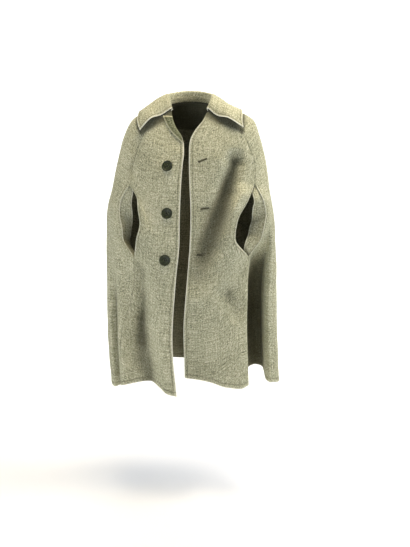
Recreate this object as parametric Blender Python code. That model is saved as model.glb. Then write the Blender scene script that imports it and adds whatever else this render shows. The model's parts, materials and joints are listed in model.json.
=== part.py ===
# Wool cape coat with two arm slits, a pointed roll collar and three buttons.
# Metres, +Z up, the fronts face -Y. The origin is the middle of the neck hole, level with the
# top of the shoulders, where the cape hangs. "Right" and "left" are the wearer's, so the
# right half lies at -X. Every cloth piece is cut from one cape surface, cape(turn, level):
# turn is in degrees from the centre front round by the right side and the back,
# level runs from 0 at the neckline to 1 at the hem.

import bmesh
import bpy
import numpy as np
from mathutils import Matrix, Vector
from mathutils.bvhtree import BVHTree

WALL = 0.0022
SEAM_GAP = 0.0006
LAY_GAP = 0.0008

# The rings of the cape, from the neckline to the hem. The heights are at the front, sides
# and back; the squares are the exponents of its rounded form (2 is an ellipse).
# The last four columns are where the front edges and the side-front seams cross the ring.
RING_COLUMNS = ("level", "right_front_z", "left_front_z", "side_z", "back_z", "right_x", "left_x",
                "front_y", "back_y", "front_square", "back_square",
                "right_edge", "left_edge", "right_seam", "left_seam")
RINGS = (
    (0.00, -0.090, -0.055, 0.000, 0.012, -0.087, 0.062, -0.085, 0.080, 3.2, 2.2, -0.077, 0.041, -0.0855, 0.0605),
    (0.05, -0.118, -0.095, -0.012, -0.028, -0.134, 0.108, -0.098, 0.112, 2.9, 2.2, -0.041, 0.003, -0.122, 0.098),
    (0.10, -0.152, -0.137, -0.036, -0.073, -0.190, 0.178, -0.110, 0.138, 2.7, 2.3, -0.034, -0.015, -0.160, 0.148),
    (0.13, -0.170, -0.164, -0.060, -0.102, -0.220, 0.211, -0.117, 0.150, 2.6, 2.35, -0.034, -0.017, -0.174, 0.168),
    (0.18, -0.216, -0.215, -0.110, -0.150, -0.245, 0.231, -0.126, 0.162, 2.5, 2.4, -0.039, -0.017, -0.194, 0.188),
    (0.25, -0.285, -0.285, -0.185, -0.220, -0.265, 0.251, -0.134, 0.170, 2.4, 2.4, -0.044, -0.015, -0.212, 0.210),
    (0.35, -0.380, -0.380, -0.290, -0.320, -0.290, 0.267, -0.141, 0.173, 2.3, 2.4, -0.048, -0.012, -0.224, 0.204),
    (0.45, -0.475, -0.475, -0.395, -0.415, -0.312, 0.286, -0.145, 0.173, 2.3, 2.4, -0.050, -0.014, -0.206, 0.191),
    (0.60, -0.612, -0.612, -0.560, -0.565, -0.315, 0.297, -0.150, 0.174, 2.3, 2.4, -0.063, -0.025, -0.206, 0.190),
    (0.80, -0.798, -0.798, -0.790, -0.765, -0.316, 0.304, -0.155, 0.176, 2.3, 2.4, -0.075, -0.037, -0.245, 0.200),
    (1.00, -0.978, -0.980, -0.998, -0.960, -0.305, 0.315, -0.160, 0.180, 2.3, 2.4, -0.060, -0.034, -0.256, 0.214),
)
MIDDLE_X = -0.006
# The side seams run straight down from the neck over the shoulders.
SIDE_TURN = 92

# The hanging folds: how far the hem is moved at each crest and trough. Out is square to the
# ring, the rest along the axes. A fold starts at one level and is whole at another.
FOLD_COLUMNS = ("turn", "out", "x", "y", "z", "starts", "whole")
FOLDS = (
    (4, 0.000, 0.000, -0.004, -0.036, 0.60, 1.00),
    (14, 0.000, 0.000, 0.000, -0.026, 0.60, 1.00),
    (19, 0.000, 0.000, 0.014, -0.008, 0.60, 1.00),
    (27, 0.000, 0.000, 0.045, 0.010, 0.58, 1.00),
    (41, 0.000, 0.000, 0.020, 0.008, 0.50, 0.95),
    (50, 0.000, -0.010, -0.006, 0.006, 0.48, 0.85),
    (55, 0.000, -0.004, 0.004, 0.000, 0.48, 0.85),
    (60, 0.000, 0.020, 0.030, -0.003, 0.50, 0.85),
    (66, 0.000, 0.026, 0.034, -0.006, 0.50, 0.85),
    (76, 0.000, 0.008, -0.004, -0.012, 0.50, 0.85),
    (90, 0.000, 0.000, 0.000, -0.004, 0.50, 0.95),
    (105, -0.016, 0.000, 0.000, 0.002, 0.35, 1.00),
    (124, 0.020, 0.000, 0.000, 0.000, 0.35, 1.00),
    (142, -0.022, 0.000, 0.000, 0.004, 0.28, 1.00),
    (160, 0.018, 0.000, 0.000, 0.000, 0.30, 1.00),
    (177, -0.018, 0.000, 0.000, 0.003, 0.40, 1.00),
    (194, 0.016, 0.000, 0.000, 0.000, 0.40, 1.00),
    (213, -0.026, 0.000, 0.000, 0.005, 0.25, 1.00),
    (233, 0.020, 0.000, 0.000, 0.000, 0.30, 1.00),
    (250, -0.014, 0.000, 0.000, 0.002, 0.38, 1.00),
    (270, 0.000, 0.000, 0.006, -0.002, 0.45, 0.95),
    (284, 0.000, -0.002, 0.006, 0.002, 0.42, 0.80),
    (292, 0.000, -0.016, 0.010, 0.004, 0.42, 0.80),
    (298, 0.000, -0.018, 0.050, 0.004, 0.40, 0.78),
    (304, 0.000, -0.010, 0.150, 0.030, 0.40, 0.78),
    (310, 0.000, -0.018, 0.172, 0.034, 0.40, 0.78),
    (316, 0.000, -0.030, 0.140, 0.026, 0.40, 0.78),
    (320, 0.000, -0.020, 0.040, 0.006, 0.42, 0.78),
    (324, 0.000, -0.006, -0.012, 0.010, 0.45, 0.85),
    (331, 0.000, 0.000, -0.020, 0.002, 0.55, 1.00),
    (341, 0.000, 0.000, 0.000, 0.000, 0.60, 1.00),
    (352, 0.000, 0.000, 0.030, 0.012, 0.60, 1.00),
    (364, 0.000, 0.000, 0.048, 0.022, 0.60, 1.00),
)

# Soft folds and swells that lie across the rings, as lines in the front view, from top to
# bottom. The columns of a line are x, z, half the fold's width and its push, and a positive
# push goes towards the back.
CREASES = {
    "diagonal_fold": ("front", (
        (0.147, -0.150, 0.016, 0.000), (0.139, -0.200, 0.024, 0.032), (0.112, -0.300, 0.030, 0.048),
        (0.085, -0.385, 0.036, 0.050), (0.050, -0.480, 0.042, 0.044), (0.012, -0.580, 0.050, 0.024),
        (-0.008, -0.680, 0.050, 0.000))),
    "slit_ridge": ("front", (
        (0.190, -0.270, 0.030, 0.000), (0.172, -0.312, 0.036, -0.020), (0.130, -0.370, 0.044, -0.028),
        (0.108, -0.440, 0.048, -0.026), (0.100, -0.520, 0.045, -0.012), (0.102, -0.580, 0.040, 0.000))),
    "hip_hollow": ("front", (
        (0.100, -0.600, 0.022, 0.000), (0.118, -0.655, 0.034, 0.012), (0.142, -0.705, 0.032, 0.010),
        (0.152, -0.770, 0.030, 0.000))),
    "shoulder_crease": ("front", (
        (-0.172, -0.085, 0.010, 0.000), (-0.190, -0.140, 0.016, 0.007), (-0.210, -0.230, 0.014, 0.008),
        (-0.216, -0.275, 0.012, 0.000))),
    "right_hang": ("front", (
        (-0.186, -0.500, 0.014, 0.000), (-0.178, -0.580, 0.020, 0.012), (-0.176, -0.680, 0.024, 0.022),
        (-0.182, -0.750, 0.026, 0.030), (-0.186, -0.810, 0.030, 0.024), (-0.190, -0.890, 0.030, 0.010),
        (-0.190, -0.960, 0.030, 0.000))),
    "right_swell": ("front", (
        (-0.100, -0.170, 0.050, 0.000), (-0.105, -0.260, 0.050, -0.008), (-0.118, -0.550, 0.050, -0.008),
        (-0.122, -0.680, 0.050, 0.000))),
    "back_left_swell": ("back", (
        (0.105, -0.080, 0.024, 0.000), (0.128, -0.180, 0.030, -0.010), (0.160, -0.360, 0.030, -0.010),
        (0.175, -0.470, 0.030, 0.000))),
    "back_right_swell": ("back", (
        (-0.098, -0.070, 0.026, 0.000), (-0.118, -0.160, 0.034, -0.012), (-0.150, -0.330, 0.034, -0.012),
        (-0.166, -0.440, 0.034, 0.000))),
    "back_middle": ("back", (
        (0.008, -0.060, 0.024, 0.000), (0.012, -0.140, 0.030, 0.006), (0.018, -0.300, 0.030, 0.006),
        (0.022, -0.400, 0.030, 0.000))),
}
NEAR_LINE = 0.006

# The arm slits in the side-front seams. Part is the share of the way down the slit.
# The front panel's edge and the side panel's edge are each moved along X, Y and Z.
SLIT_TOP = 0.300
SLIT_BOTTOM = 0.530
SLIT_SPREAD = {"front": 0.085, "side": 0.100}
SLIT_BLUR = 1.1
SLIT_STEPS = 9
SLIT_COLUMNS = ("part", "front_x", "front_y", "front_z", "side_x", "side_y", "side_z")
RIGHT_SLIT = (
    (0.00, 0.000, 0.000, 0.000, 0.000, 0.000, 0.000),
    (0.22, 0.030, -0.022, 0.000, -0.026, 0.012, 0.000),
    (0.45, 0.028, -0.030, 0.000, -0.040, 0.020, 0.000),
    (0.70, 0.009, -0.026, 0.000, -0.040, 0.022, 0.000),
    (1.00, 0.000, 0.000, 0.000, 0.000, 0.000, 0.000),
)
LEFT_SLIT = (
    (0.00, 0.000, 0.000, 0.000, 0.000, 0.000, 0.000),
    (0.22, -0.020, -0.022, 0.000, 0.034, 0.006, 0.000),
    (0.45, -0.046, -0.040, 0.000, 0.050, 0.012, 0.000),
    (0.70, -0.050, -0.042, 0.000, 0.044, 0.012, 0.000),
    (1.00, 0.000, 0.000, 0.000, 0.000, 0.000, 0.000),
)
WELT_WIDTH = 0.048
WELT_GAP = {"right": 0.0007, "left": 0.0012}
# How far the welt is turned inwards on its way down the slit, in degrees.
WELT_TURN_COLUMNS = ("part", "right", "left")
WELT_TURN = (
    (0.00, 0, 0),
    (0.20, 5, 6),
    (0.42, 50, 42),
    (0.62, 76, 54),
    (1.00, 80, 60),
)

# The collar by sections, from its right end round the back to its left end: the turn at the
# neckline, the height of the stand, how far the roll leans out, and the turn and level of
# the leaf's edge with its lift off the cape at the middle and at the edge.
COLLAR_COLUMNS = ("turn", "stand", "lean", "edge_turn", "edge_level", "mid_lift", "edge_lift")
COLLAR = (
    (56, 0.006, 0.003, 52, 0.124, 0.014, 0.009),
    (65, 0.015, 0.006, 63, 0.122, 0.015, 0.006),
    (84, 0.028, 0.010, 84, 0.115, 0.014, 0.004),
    (110, 0.033, 0.012, 112, 0.105, 0.015, 0.004),
    (180, 0.034, 0.013, 180, 0.100, 0.016, 0.004),
    (250, 0.033, 0.012, 248, 0.105, 0.015, 0.004),
    (276, 0.025, 0.007, 276, 0.112, 0.010, 0.004),
    (302, 0.015, 0.006, 299, 0.114, 0.014, 0.006),
    (317, 0.006, 0.003, 309, 0.113, 0.014, 0.009),
)

# The top corner of the right front, turned out and showing its facing.
# The roll line follows the front edge down to a level; the corner's free edge lies further
# round and further down.
LAPEL_BOTTOM = 0.075
LAPEL_TURN = 7.0
LAPEL_DROP = 0.034

BUTTON_WIDTH = 0.034
BUTTON_DEPTH = 0.0046
BUTTON_GAP = 0.0004
BUTTON_HOLE = 0.0026
BUTTON_HOLE_APART = 0.0052
# Buttons on the right front and their holes on the left front: height, distance in from the
# front edge, and the droop of the button or the rise of its hole in degrees.
BUTTONS = ((-0.222, 0.050, 14), (-0.377, 0.044, 4), (-0.535, 0.045, 2))
BUTTONHOLES = ((-0.196, 0.046, 22), (-0.357, 0.049, 3), (-0.516, 0.041, 5))
BUTTONHOLE_LENGTH = 0.030
BUTTONHOLE_WIDTH = 0.0016


def columns(names, rows):
    return {name: np.array([row[at] for row in rows]) for at, name in enumerate(names)}


def smooth(at, values, x):
    """Follow the values through the rows without a bump between two of them."""
    at = np.asarray(at, float)
    values = np.asarray(values, float)
    step = np.diff(at)
    slope = np.diff(values) / step
    tangent = np.zeros(len(at))
    tangent[0] = slope[0]
    tangent[-1] = slope[-1]
    for i in range(1, len(at) - 1):
        if slope[i - 1] * slope[i] > 0:
            before = 2 * step[i] + step[i - 1]
            after = step[i] + 2 * step[i - 1]
            tangent[i] = (before + after) / (before / slope[i - 1] + after / slope[i])
    x = np.clip(x, at[0], at[-1])
    k = np.clip(np.searchsorted(at, x, side="right") - 1, 0, len(step) - 1)
    t = (x - at[k]) / step[k]
    rise = values[k] * (1 + 2 * t) * (1 - t) ** 2 + values[k + 1] * t ** 2 * (3 - 2 * t)
    return rise + step[k] * (tangent[k] * t * (1 - t) ** 2 + tangent[k + 1] * t ** 2 * (t - 1))


def ease(t):
    t = np.clip(t, 0.0, 1.0)
    return t * t * (3 - 2 * t)


RING = columns(RING_COLUMNS, RINGS)
FOLD = columns(FOLD_COLUMNS, FOLDS)
SLITS = {"right": columns(SLIT_COLUMNS, RIGHT_SLIT), "left": columns(SLIT_COLUMNS, LEFT_SLIT)}


def ring(name, level):
    return smooth(RING["level"], RING[name], level)


def turn_at(column, level):
    """The turn at which a ring passes the X given in a column."""
    x = ring(column, level)
    reach = np.where(x < MIDDLE_X, ring("right_x", level), ring("left_x", level)) - MIDDLE_X
    share = np.clip((x - MIDDLE_X) / reach, 0.0, 1.0) ** (ring("front_square", level) / 2)
    turn = np.degrees(np.arcsin(share))
    if column.startswith("left"):
        return np.where(x < MIDDLE_X, 360 + turn, 360 - turn)
    return np.where(x < MIDDLE_X, turn, -turn)


def bare(turn, level):
    """The ring's own form, before any fold."""
    angle = np.radians(turn)
    sine = np.sin(angle)
    cosine = np.cos(angle)
    power = 2 / np.where(cosine > 0, ring("front_square", level), ring("back_square", level))
    wide = np.where(sine > 0, ring("right_x", level), ring("left_x", level)) - MIDDLE_X
    deep = np.where(cosine > 0, ring("front_y", level), ring("back_y", level))
    x = MIDDLE_X + wide * np.abs(sine) ** power
    y = deep * np.abs(cosine) ** power
    side = ring("side_z", level)
    front = np.where(turn < 180, ring("right_front_z", level), ring("left_front_z", level))
    z = side + (front - side) * np.clip(cosine, 0, 1) ** 2
    z = z + (ring("back_z", level) - side) * np.clip(-cosine, 0, 1) ** 2
    return np.stack([x, y, z], axis=-1)


def push_along(point, line):
    """How far a line in the front view pushes a point, smoothly from one stretch to the next."""
    total = 0.0
    weight = 0.0
    for (x0, z0, wide0, push0), (x1, z1, wide1, push1) in zip(line, line[1:]):
        dx = x1 - x0
        dz = z1 - z0
        t = np.clip(((point[..., 0] - x0) * dx + (point[..., 2] - z0) * dz) / (dx * dx + dz * dz), 0, 1)
        gap = (point[..., 0] - x0 - t * dx) ** 2 + (point[..., 2] - z0 - t * dz) ** 2
        near = 1 / (gap + NEAR_LINE ** 2) ** 3
        push = push0 + (push1 - push0) * ease(t)
        total = total + near * push * np.exp(-gap / (wide0 + (wide1 - wide0) * t) ** 2)
        weight = weight + near
    return total / weight


def cape(turn, level, panel=None):
    """A point of the cape's outer face. A panel beside a slit takes that slit's pull."""
    turn, level = np.broadcast_arrays(np.asarray(turn, float), np.asarray(level, float))
    point = bare(turn, level)
    ahead = bare(turn + 0.5, level) - bare(turn - 0.5, level)
    outward = np.stack([-ahead[..., 1], ahead[..., 0]], axis=-1)
    outward = outward / np.maximum(np.linalg.norm(outward, axis=-1, keepdims=True), 1e-9)
    starts = smooth(FOLD["turn"], FOLD["starts"], turn)
    whole = smooth(FOLD["turn"], FOLD["whole"], turn)
    grown = ease((level - starts) / (whole - starts))
    out = smooth(FOLD["turn"], FOLD["out"], turn) * grown
    move = np.stack([smooth(FOLD["turn"], FOLD[axis], turn) * grown for axis in "xyz"], axis=-1)
    result = point + move
    result[..., 0] += outward[..., 0] * out
    result[..., 1] += outward[..., 1] * out
    facing = np.cos(np.radians(turn))
    for side, line in CREASES.values():
        share = ease(facing * (1 if side == "front" else -1) * 2.2)
        result[..., 1] += share * push_along(point, line)
    if panel:
        which, half = panel
        slit = SLITS[half]
        seam = bare(turn_at(half + "_seam", level), level)
        gap = np.linalg.norm(point - seam, axis=-1)
        near = np.exp(-(gap / SLIT_SPREAD[which]) ** 2)
        near = near * ease((SIDE_TURN - np.abs(turn - (0 if half == "right" else 360))) / 30)
        for share in (-1.5, -1.0, -0.5, 0.0, 0.5, 1.0, 1.5):
            part = (level + share * gap * SLIT_BLUR - SLIT_TOP) / (SLIT_BOTTOM - SLIT_TOP)
            for at, axis in enumerate("xyz"):
                pull = smooth(slit["part"], slit[which + "_" + axis], part)
                result[..., at] += pull * near / 7
    return result


def cape_out(turn, level, panel=None):
    """The cape's outward direction, square to its face."""
    turn, level = np.broadcast_arrays(np.asarray(turn, float), np.asarray(level, float))
    low = np.clip(level - 0.002, 0, 1)
    high = np.clip(level + 0.002, 0, 1)
    round_it = cape(turn + 0.4, level, panel) - cape(turn - 0.4, level, panel)
    down_it = cape(turn, high, panel) - cape(turn, low, panel)
    out = np.cross(round_it, down_it)
    return out / np.maximum(np.linalg.norm(out, axis=-1, keepdims=True), 1e-12)


def new_collection(name):
    group = bpy.data.collections.new(name)
    bpy.context.scene.collection.children.link(group)
    return group


def add_object(name, mesh, colour, rough):
    group = new_collection(name)
    body = bpy.data.objects.new(name, mesh)
    group.objects.link(body)
    paint = bpy.data.materials.new(name)
    paint.use_nodes = True
    shader = paint.node_tree.nodes["Principled BSDF"]
    shader.inputs["Base Color"].default_value = (*colour, 1.0)
    shader.inputs["Roughness"].default_value = rough
    mesh.materials.append(paint)
    return body


def close_up(mesh):
    work = bmesh.new()
    work.from_mesh(mesh)
    bmesh.ops.recalc_face_normals(work, faces=work.faces)
    work.to_mesh(mesh)
    work.free()


def shell(name, outer, inner, colour=(0.38, 0.37, 0.26), rough=0.95):
    """A closed thin wall between an outer and an inner grid of points."""
    rows, across_it = outer.shape[:2]
    points = np.concatenate([outer.reshape(-1, 3), inner.reshape(-1, 3)])
    deep = rows * across_it
    faces = []
    for i in range(rows - 1):
        for j in range(across_it - 1):
            a = i * across_it + j
            below = a + across_it
            for corner in ((a, a + 1, below + 1), (a, below + 1, below)):
                faces.append(corner)
                faces.append(tuple(deep + k for k in reversed(corner)))
    rim = [j for j in range(across_it)]
    rim += [i * across_it + across_it - 1 for i in range(1, rows)]
    rim += [(rows - 1) * across_it + j for j in range(across_it - 2, -1, -1)]
    rim += [i * across_it for i in range(rows - 2, 0, -1)]
    for a, b in zip(rim, rim[1:] + rim[:1]):
        faces.append((b, a, deep + a, deep + b))
    mesh = bpy.data.meshes.new(name)
    mesh.from_pydata(points.tolist(), [], faces)
    close_up(mesh)
    return add_object(name, mesh, colour, rough)


def draw_in(grid, first, last):
    """Move the first and last column of a grid in from the seam line."""
    for keep, edge, beside in ((first, 0, 1), (last, -1, -2)):
        if keep:
            along = grid[:, beside] - grid[:, edge]
            along = along / np.linalg.norm(along, axis=-1, keepdims=True)
            grid[:, edge] += along * SEAM_GAP / 2


def spaced(count, bias=0.0):
    """Shares from 0 to 1, drawn towards the end by the bias."""
    t = np.linspace(0, 1, count)
    return t + bias * t * (1 - t)


def panel(name, start, end, levels, count, side=None, first=True, last=True, bias=0.0):
    """One cut piece of the cape between two lines of turn."""
    share = spaced(count, bias)
    level = np.asarray(levels)[:, None]
    a = start(level)
    b = end(level)
    turn = a + (b - a) * share[None, :]
    outer = cape(turn, level, side)
    outward = cape_out(turn, level, side)
    if side:
        seam = -1 if first is False or name == "side_left" else 0
        both = sum(cape_out(turn[:, seam], level[:, 0], (which, side[1])) for which in ("front", "side"))
        both = both / np.linalg.norm(both, axis=-1, keepdims=True)
        part = (level - SLIT_TOP) / (SLIT_BOTTOM - SLIT_TOP)
        own = ease(np.minimum(part, 1 - part) / 0.12)
        outward[:, seam] = both + (outward[:, seam] - both) * own
    inner = outer - outward * WALL
    for grid in (outer, inner):
        draw_in(grid, first, last)
    return shell(name, outer, inner)


def levels_through(*marks):
    """Levels from 0 to 1 that land on each mark, with a count of steps before it."""
    values = [0.0]
    for mark, steps in marks:
        values += list(np.linspace(values[-1], mark, steps + 1)[1:])
    return values


def right_edge(level):
    return turn_at("right_edge", level)


def left_edge(level):
    return turn_at("left_edge", level)


def right_seam(level):
    return turn_at("right_seam", level)


def left_seam(level):
    return turn_at("left_seam", level)


def right_side(level):
    return SIDE_TURN + 0 * level


def left_side(level):
    return 360 - SIDE_TURN + 0 * level


def welt(name, half):
    """The band under the slit's back edge, set on the side panel and running inwards."""
    seam = right_seam if half == "right" else left_seam
    level = np.linspace(SLIT_TOP, SLIT_BOTTOM, SLIT_STEPS + 1)[:, None]
    side = ("side", half)
    edge_turn = seam(level)
    towards_front = -1 if half == "right" else 1
    root_turn = edge_turn - towards_front * 1.0
    outward = cape_out(root_turn, level, side)
    root = cape(root_turn, level, side)
    ahead = cape(edge_turn, level, side) - cape(edge_turn - towards_front * 2, level, side)
    ahead = ahead / np.linalg.norm(ahead, axis=-1, keepdims=True)
    part = (level - SLIT_TOP) / (SLIT_BOTTOM - SLIT_TOP)
    width = WELT_WIDTH * np.sin(np.pi * np.clip(part, 0.03, 0.97)) ** 0.38
    reach = np.array([0.0, 0.2, 0.4, 0.7, 1.0])
    turned_in = np.array([0.0, 0.012, 0.03, 0.08, 0.16])
    below = root - outward * (WALL + WELT_GAP[half])
    step = reach[None, :, None] * width[:, :, None]
    sink = turned_in[None, :, None] * width[:, :, None]
    bend = columns(WELT_TURN_COLUMNS, WELT_TURN)
    bend = np.radians(smooth(bend["part"], bend[half], part))[..., None]
    outer = below + (ahead * np.cos(bend) - outward * np.sin(bend)) * step - outward * sink
    inner = outer - (outward * np.cos(bend) + ahead * np.sin(bend)) * WALL
    for grid in (outer, inner):
        grid[0] += (grid[1] - grid[0]) * 0.2
        grid[-1] += (grid[-2] - grid[-1]) * 0.2
    return shell(name, outer, inner, (0.42, 0.41, 0.29))


def collar():
    """Stand, roll and leaf in one bent piece round the neckline."""
    row = columns(COLLAR_COLUMNS, COLLAR)
    place = np.linspace(0, len(COLLAR) - 1, 41)
    index = np.arange(len(COLLAR))
    value = {name: smooth(index, row[name], place) for name in COLLAR_COLUMNS}
    turn = value["turn"]
    base = cape(turn, 0.0)
    middle = np.array([MIDDLE_X, 0.0, 0.0])
    away = base - middle
    away[..., 2] = 0
    away = away / np.linalg.norm(away, axis=-1, keepdims=True)
    up = np.array([0.0, 0.0, 1.0])
    stand = value["stand"][:, None]
    lean = value["lean"][:, None]
    foot = base + up * 0.0012
    mid = foot + up * stand * 0.6 + away * lean * 0.15
    roll = foot + up * stand + away * lean * 0.75
    edge_turn = value["edge_turn"]
    edge_level = value["edge_level"]
    leaf = []
    for share in (0.2, 0.6, 1.0):
        t = turn + (edge_turn - turn) * (share * 0.85 + 0.15)
        v = edge_level * (share * 0.88 + 0.12)
        lift = smooth([0, 0.6, 1.0], [0, 1, 2], share)
        high = value["stand"] * 0.9
        raise_by = (high, value["mid_lift"], value["edge_lift"])[int(round(float(lift)))]
        leaf.append(cape(t, v) + cape_out(t, v) * raise_by[:, None])
    control = np.stack([foot, mid, roll, *leaf], axis=1)
    at = np.array([0.0, 1.0, 2.0, 2.7, 4.2, 5.6])
    where = np.array([0.0, 0.8, 1.5, 2.0, 2.4, 2.9, 3.5, 4.2, 4.9, 5.6])
    outer = np.empty((len(place), len(where), 3))
    for i in range(len(place)):
        for axis in range(3):
            outer[i, :, axis] = spline(at, control[i, :, axis], where)
    across_it = np.gradient(outer, axis=1)
    along = np.gradient(outer, axis=0)
    normal = np.cross(along, across_it)
    normal = normal / np.linalg.norm(normal, axis=-1, keepdims=True)
    inner = outer + normal * WALL
    return shell("collar", outer, inner, (0.40, 0.39, 0.27))


def spline(at, values, x):
    """A rounded curve through the values, with the chord's slope at each."""
    slope = np.gradient(values, at)
    k = np.clip(np.searchsorted(at, x, side="right") - 1, 0, len(at) - 2)
    step = (at[k + 1] - at[k])
    t = (x - at[k]) / step
    rise = values[k] * (1 + 2 * t) * (1 - t) ** 2 + values[k + 1] * t ** 2 * (3 - 2 * t)
    return rise + step * (slope[k] * t * (1 - t) ** 2 + slope[k + 1] * t ** 2 * (t - 1))


def lapel():
    """The turned-out corner, made from the right front's own points, moved out."""
    roll_level = np.linspace(0.004, LAPEL_BOTTOM, 9)[:, None]
    share = (1 - (roll_level - 0.004) / (LAPEL_BOTTOM - 0.004)) ** 0.8
    reach = np.array([0.0, 0.15, 0.35, 0.65, 1.0])[None, :]
    side = ("front", "right")
    turn = right_edge(roll_level) + 0.2 + reach * (LAPEL_TURN * share + 0.5)
    level = roll_level + reach * (LAPEL_DROP * share + 0.001)
    lift = LAY_GAP + 0.0030 * np.sin(np.pi * reach * 0.75)
    outward = cape_out(turn, level, side)
    inner = cape(turn, level, side) + outward * lift[..., None]
    outer = inner + outward * WALL
    return shell("front_corner_facing_right", outer, inner, (0.20, 0.22, 0.13))


def level_at(height, turn_of):
    """The level at which a line of turn reaches a height."""
    low = 0.0
    high = 1.0
    for _ in range(40):
        middle = (low + high) / 2
        if cape(turn_of(np.array(middle)), middle)[2] > height:
            low = middle
        else:
            high = middle
    return (low + high) / 2


def on_front(half, height, inset):
    """A place on a front, its outward direction and the direction across it."""
    edge = right_edge if half == "right" else left_edge
    side = ("front", half)
    level = level_at(height, edge)
    turn = float(edge(np.array(level)))
    step = 0.05 if half == "right" else -0.05
    start = cape(turn, level, side)
    while abs(cape(turn, level, side)[0] - start[0]) < inset:
        turn += step
    while cape(turn, level, side)[2] < height:
        level -= 0.0005
    point = Vector(cape(turn, level, side))
    outward = Vector(cape_out(turn, level, side))
    level_across = Vector((1, 0, 0))
    level_across = (level_across - outward * level_across.dot(outward)).normalized()
    return point, outward, level_across


def facing_matrix(point, outward, across_it, turn_by=0.0):
    upward = outward.cross(across_it)
    frame = Matrix((across_it, upward, outward)).transposed().to_4x4()
    return Matrix.Translation(point) @ frame @ Matrix.Rotation(np.radians(turn_by), 4, "Z")


def cut(body, cutters):
    """Take the cutters out of a body."""
    group = new_collection(body.name + "_cutters")
    for cutter in cutters:
        group.objects.link(cutter)
        cutter.hide_render = True
        cutter.display_type = "WIRE"
        step = body.modifiers.new("cut", "BOOLEAN")
        step.operation = "DIFFERENCE"
        step.solver = "EXACT"
        step.object = cutter


def cutter_mesh(name, work, matrix):
    mesh = bpy.data.meshes.new(name)
    work.to_mesh(mesh)
    work.free()
    body = bpy.data.objects.new(name, mesh)
    mesh.transform(matrix)
    return body


def buttonhole_cutter(at, height, inset, rise):
    point, outward, across_it = on_front("left", height, inset)
    work = bmesh.new()
    bmesh.ops.create_cube(work, size=1.0)
    bmesh.ops.scale(work, verts=work.verts, vec=(BUTTONHOLE_LENGTH, BUTTONHOLE_WIDTH, 0.016))
    return cutter_mesh("buttonhole_%d" % at, work, facing_matrix(point, outward, across_it, rise))


def button(at, height, inset, droop):
    """A dished button with a raised rim and four sewing holes."""
    point, outward, across_it = on_front("right", height, inset)
    radius = BUTTON_WIDTH / 2
    profile = ((0.0, 0.0), (0.76, 0.0), (0.97, 0.22), (1.0, 0.50), (0.95, 0.86), (0.86, 1.0),
               (0.74, 0.92), (0.56, 0.62), (0.0, 0.56))
    segments = 26
    work = bmesh.new()
    rings = []
    for share, rise in profile:
        if share == 0:
            rings.append([work.verts.new((0, 0, rise * BUTTON_DEPTH))])
            continue
        spots = []
        for k in range(segments):
            angle = 2 * np.pi * k / segments
            x = share * radius * np.cos(angle)
            y = share * radius * np.sin(angle)
            spots.append(work.verts.new((x, y, rise * BUTTON_DEPTH)))
        rings.append(spots)
    for low, high in zip(rings, rings[1:]):
        for k in range(segments):
            n = (k + 1) % segments
            if len(low) == 1:
                work.faces.new((low[0], high[n], high[k]))
            elif len(high) == 1:
                work.faces.new((low[k], low[n], high[0]))
            else:
                work.faces.new((low[k], low[n], high[n], high[k]))
    tilt = Matrix.Rotation(np.radians(-droop), 4, Vector((0.55, 0.83, 0)))
    place = facing_matrix(point + outward * 0.008, outward, across_it, 20) @ tilt
    mesh = bpy.data.meshes.new("button_%d" % at)
    work.to_mesh(mesh)
    work.free()
    close_up(mesh)
    cloth = bpy.data.objects["front_right"].data
    tree = BVHTree.FromPolygons([v.co for v in cloth.vertices], [p.vertices for p in cloth.polygons])
    drops = [tree.ray_cast(place @ v.co, -outward)[3] for v in mesh.vertices]
    place = Matrix.Translation(-outward * (min(d for d in drops if d) - BUTTON_GAP)) @ place
    mesh.transform(place)
    body = add_object("button_%d" % at, mesh, (0.03, 0.04, 0.02), 0.35)
    cutters = []
    for k in range(4):
        hole = bmesh.new()
        bmesh.ops.create_cone(hole, cap_ends=True, segments=8, radius1=BUTTON_HOLE / 2,
                              radius2=BUTTON_HOLE / 2, depth=0.02)
        x = (k % 2 - 0.5) * BUTTON_HOLE_APART
        y = (k // 2 - 0.5) * BUTTON_HOLE_APART
        name = "button_%d_hole_%d" % (at, k + 1)
        cutters.append(cutter_mesh(name, hole, place @ Matrix.Translation((x, y, 0))))
    cut(body, cutters)
    return body


for old in list(bpy.data.objects):
    bpy.data.objects.remove(old, do_unlink=True)

DOWN = levels_through((0.10, 5), (SLIT_TOP, 5), (SLIT_BOTTOM, SLIT_STEPS), (1.0, 11))

panel("front_right", right_edge, right_seam, DOWN, 17, ("front", "right"), first=False)
left_front = panel("front_left", left_seam, left_edge, DOWN, 19, ("front", "left"), last=False)
panel("side_right", right_seam, right_side, DOWN, 17, ("side", "right"))
panel("side_left", left_side, left_seam, DOWN, 22, ("side", "left"))
panel("back", right_side, left_side, DOWN, 33)
collar()
lapel()
welt("arm_welt_right", "right")
welt("arm_welt_left", "left")
for number, (height, inset, droop) in enumerate(BUTTONS, 1):
    button(number, height, inset, droop)
cut(left_front, [buttonhole_cutter(number, *row) for number, row in enumerate(BUTTONHOLES, 1)])
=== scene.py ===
# Wool cape coat, dressed for the render: tweed panels, collar, turned-out corner, arm welts,
# worked buttonholes, sewn buttons and topstitching. Metres, +Z up, the fronts face -Y.
# "Right" and "left" are the wearer's, so the right half lies at -X.

import json

import bmesh
import bpy
import numpy as np
from mathutils import Matrix, Vector, noise
from mathutils.bvhtree import BVHTree

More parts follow.
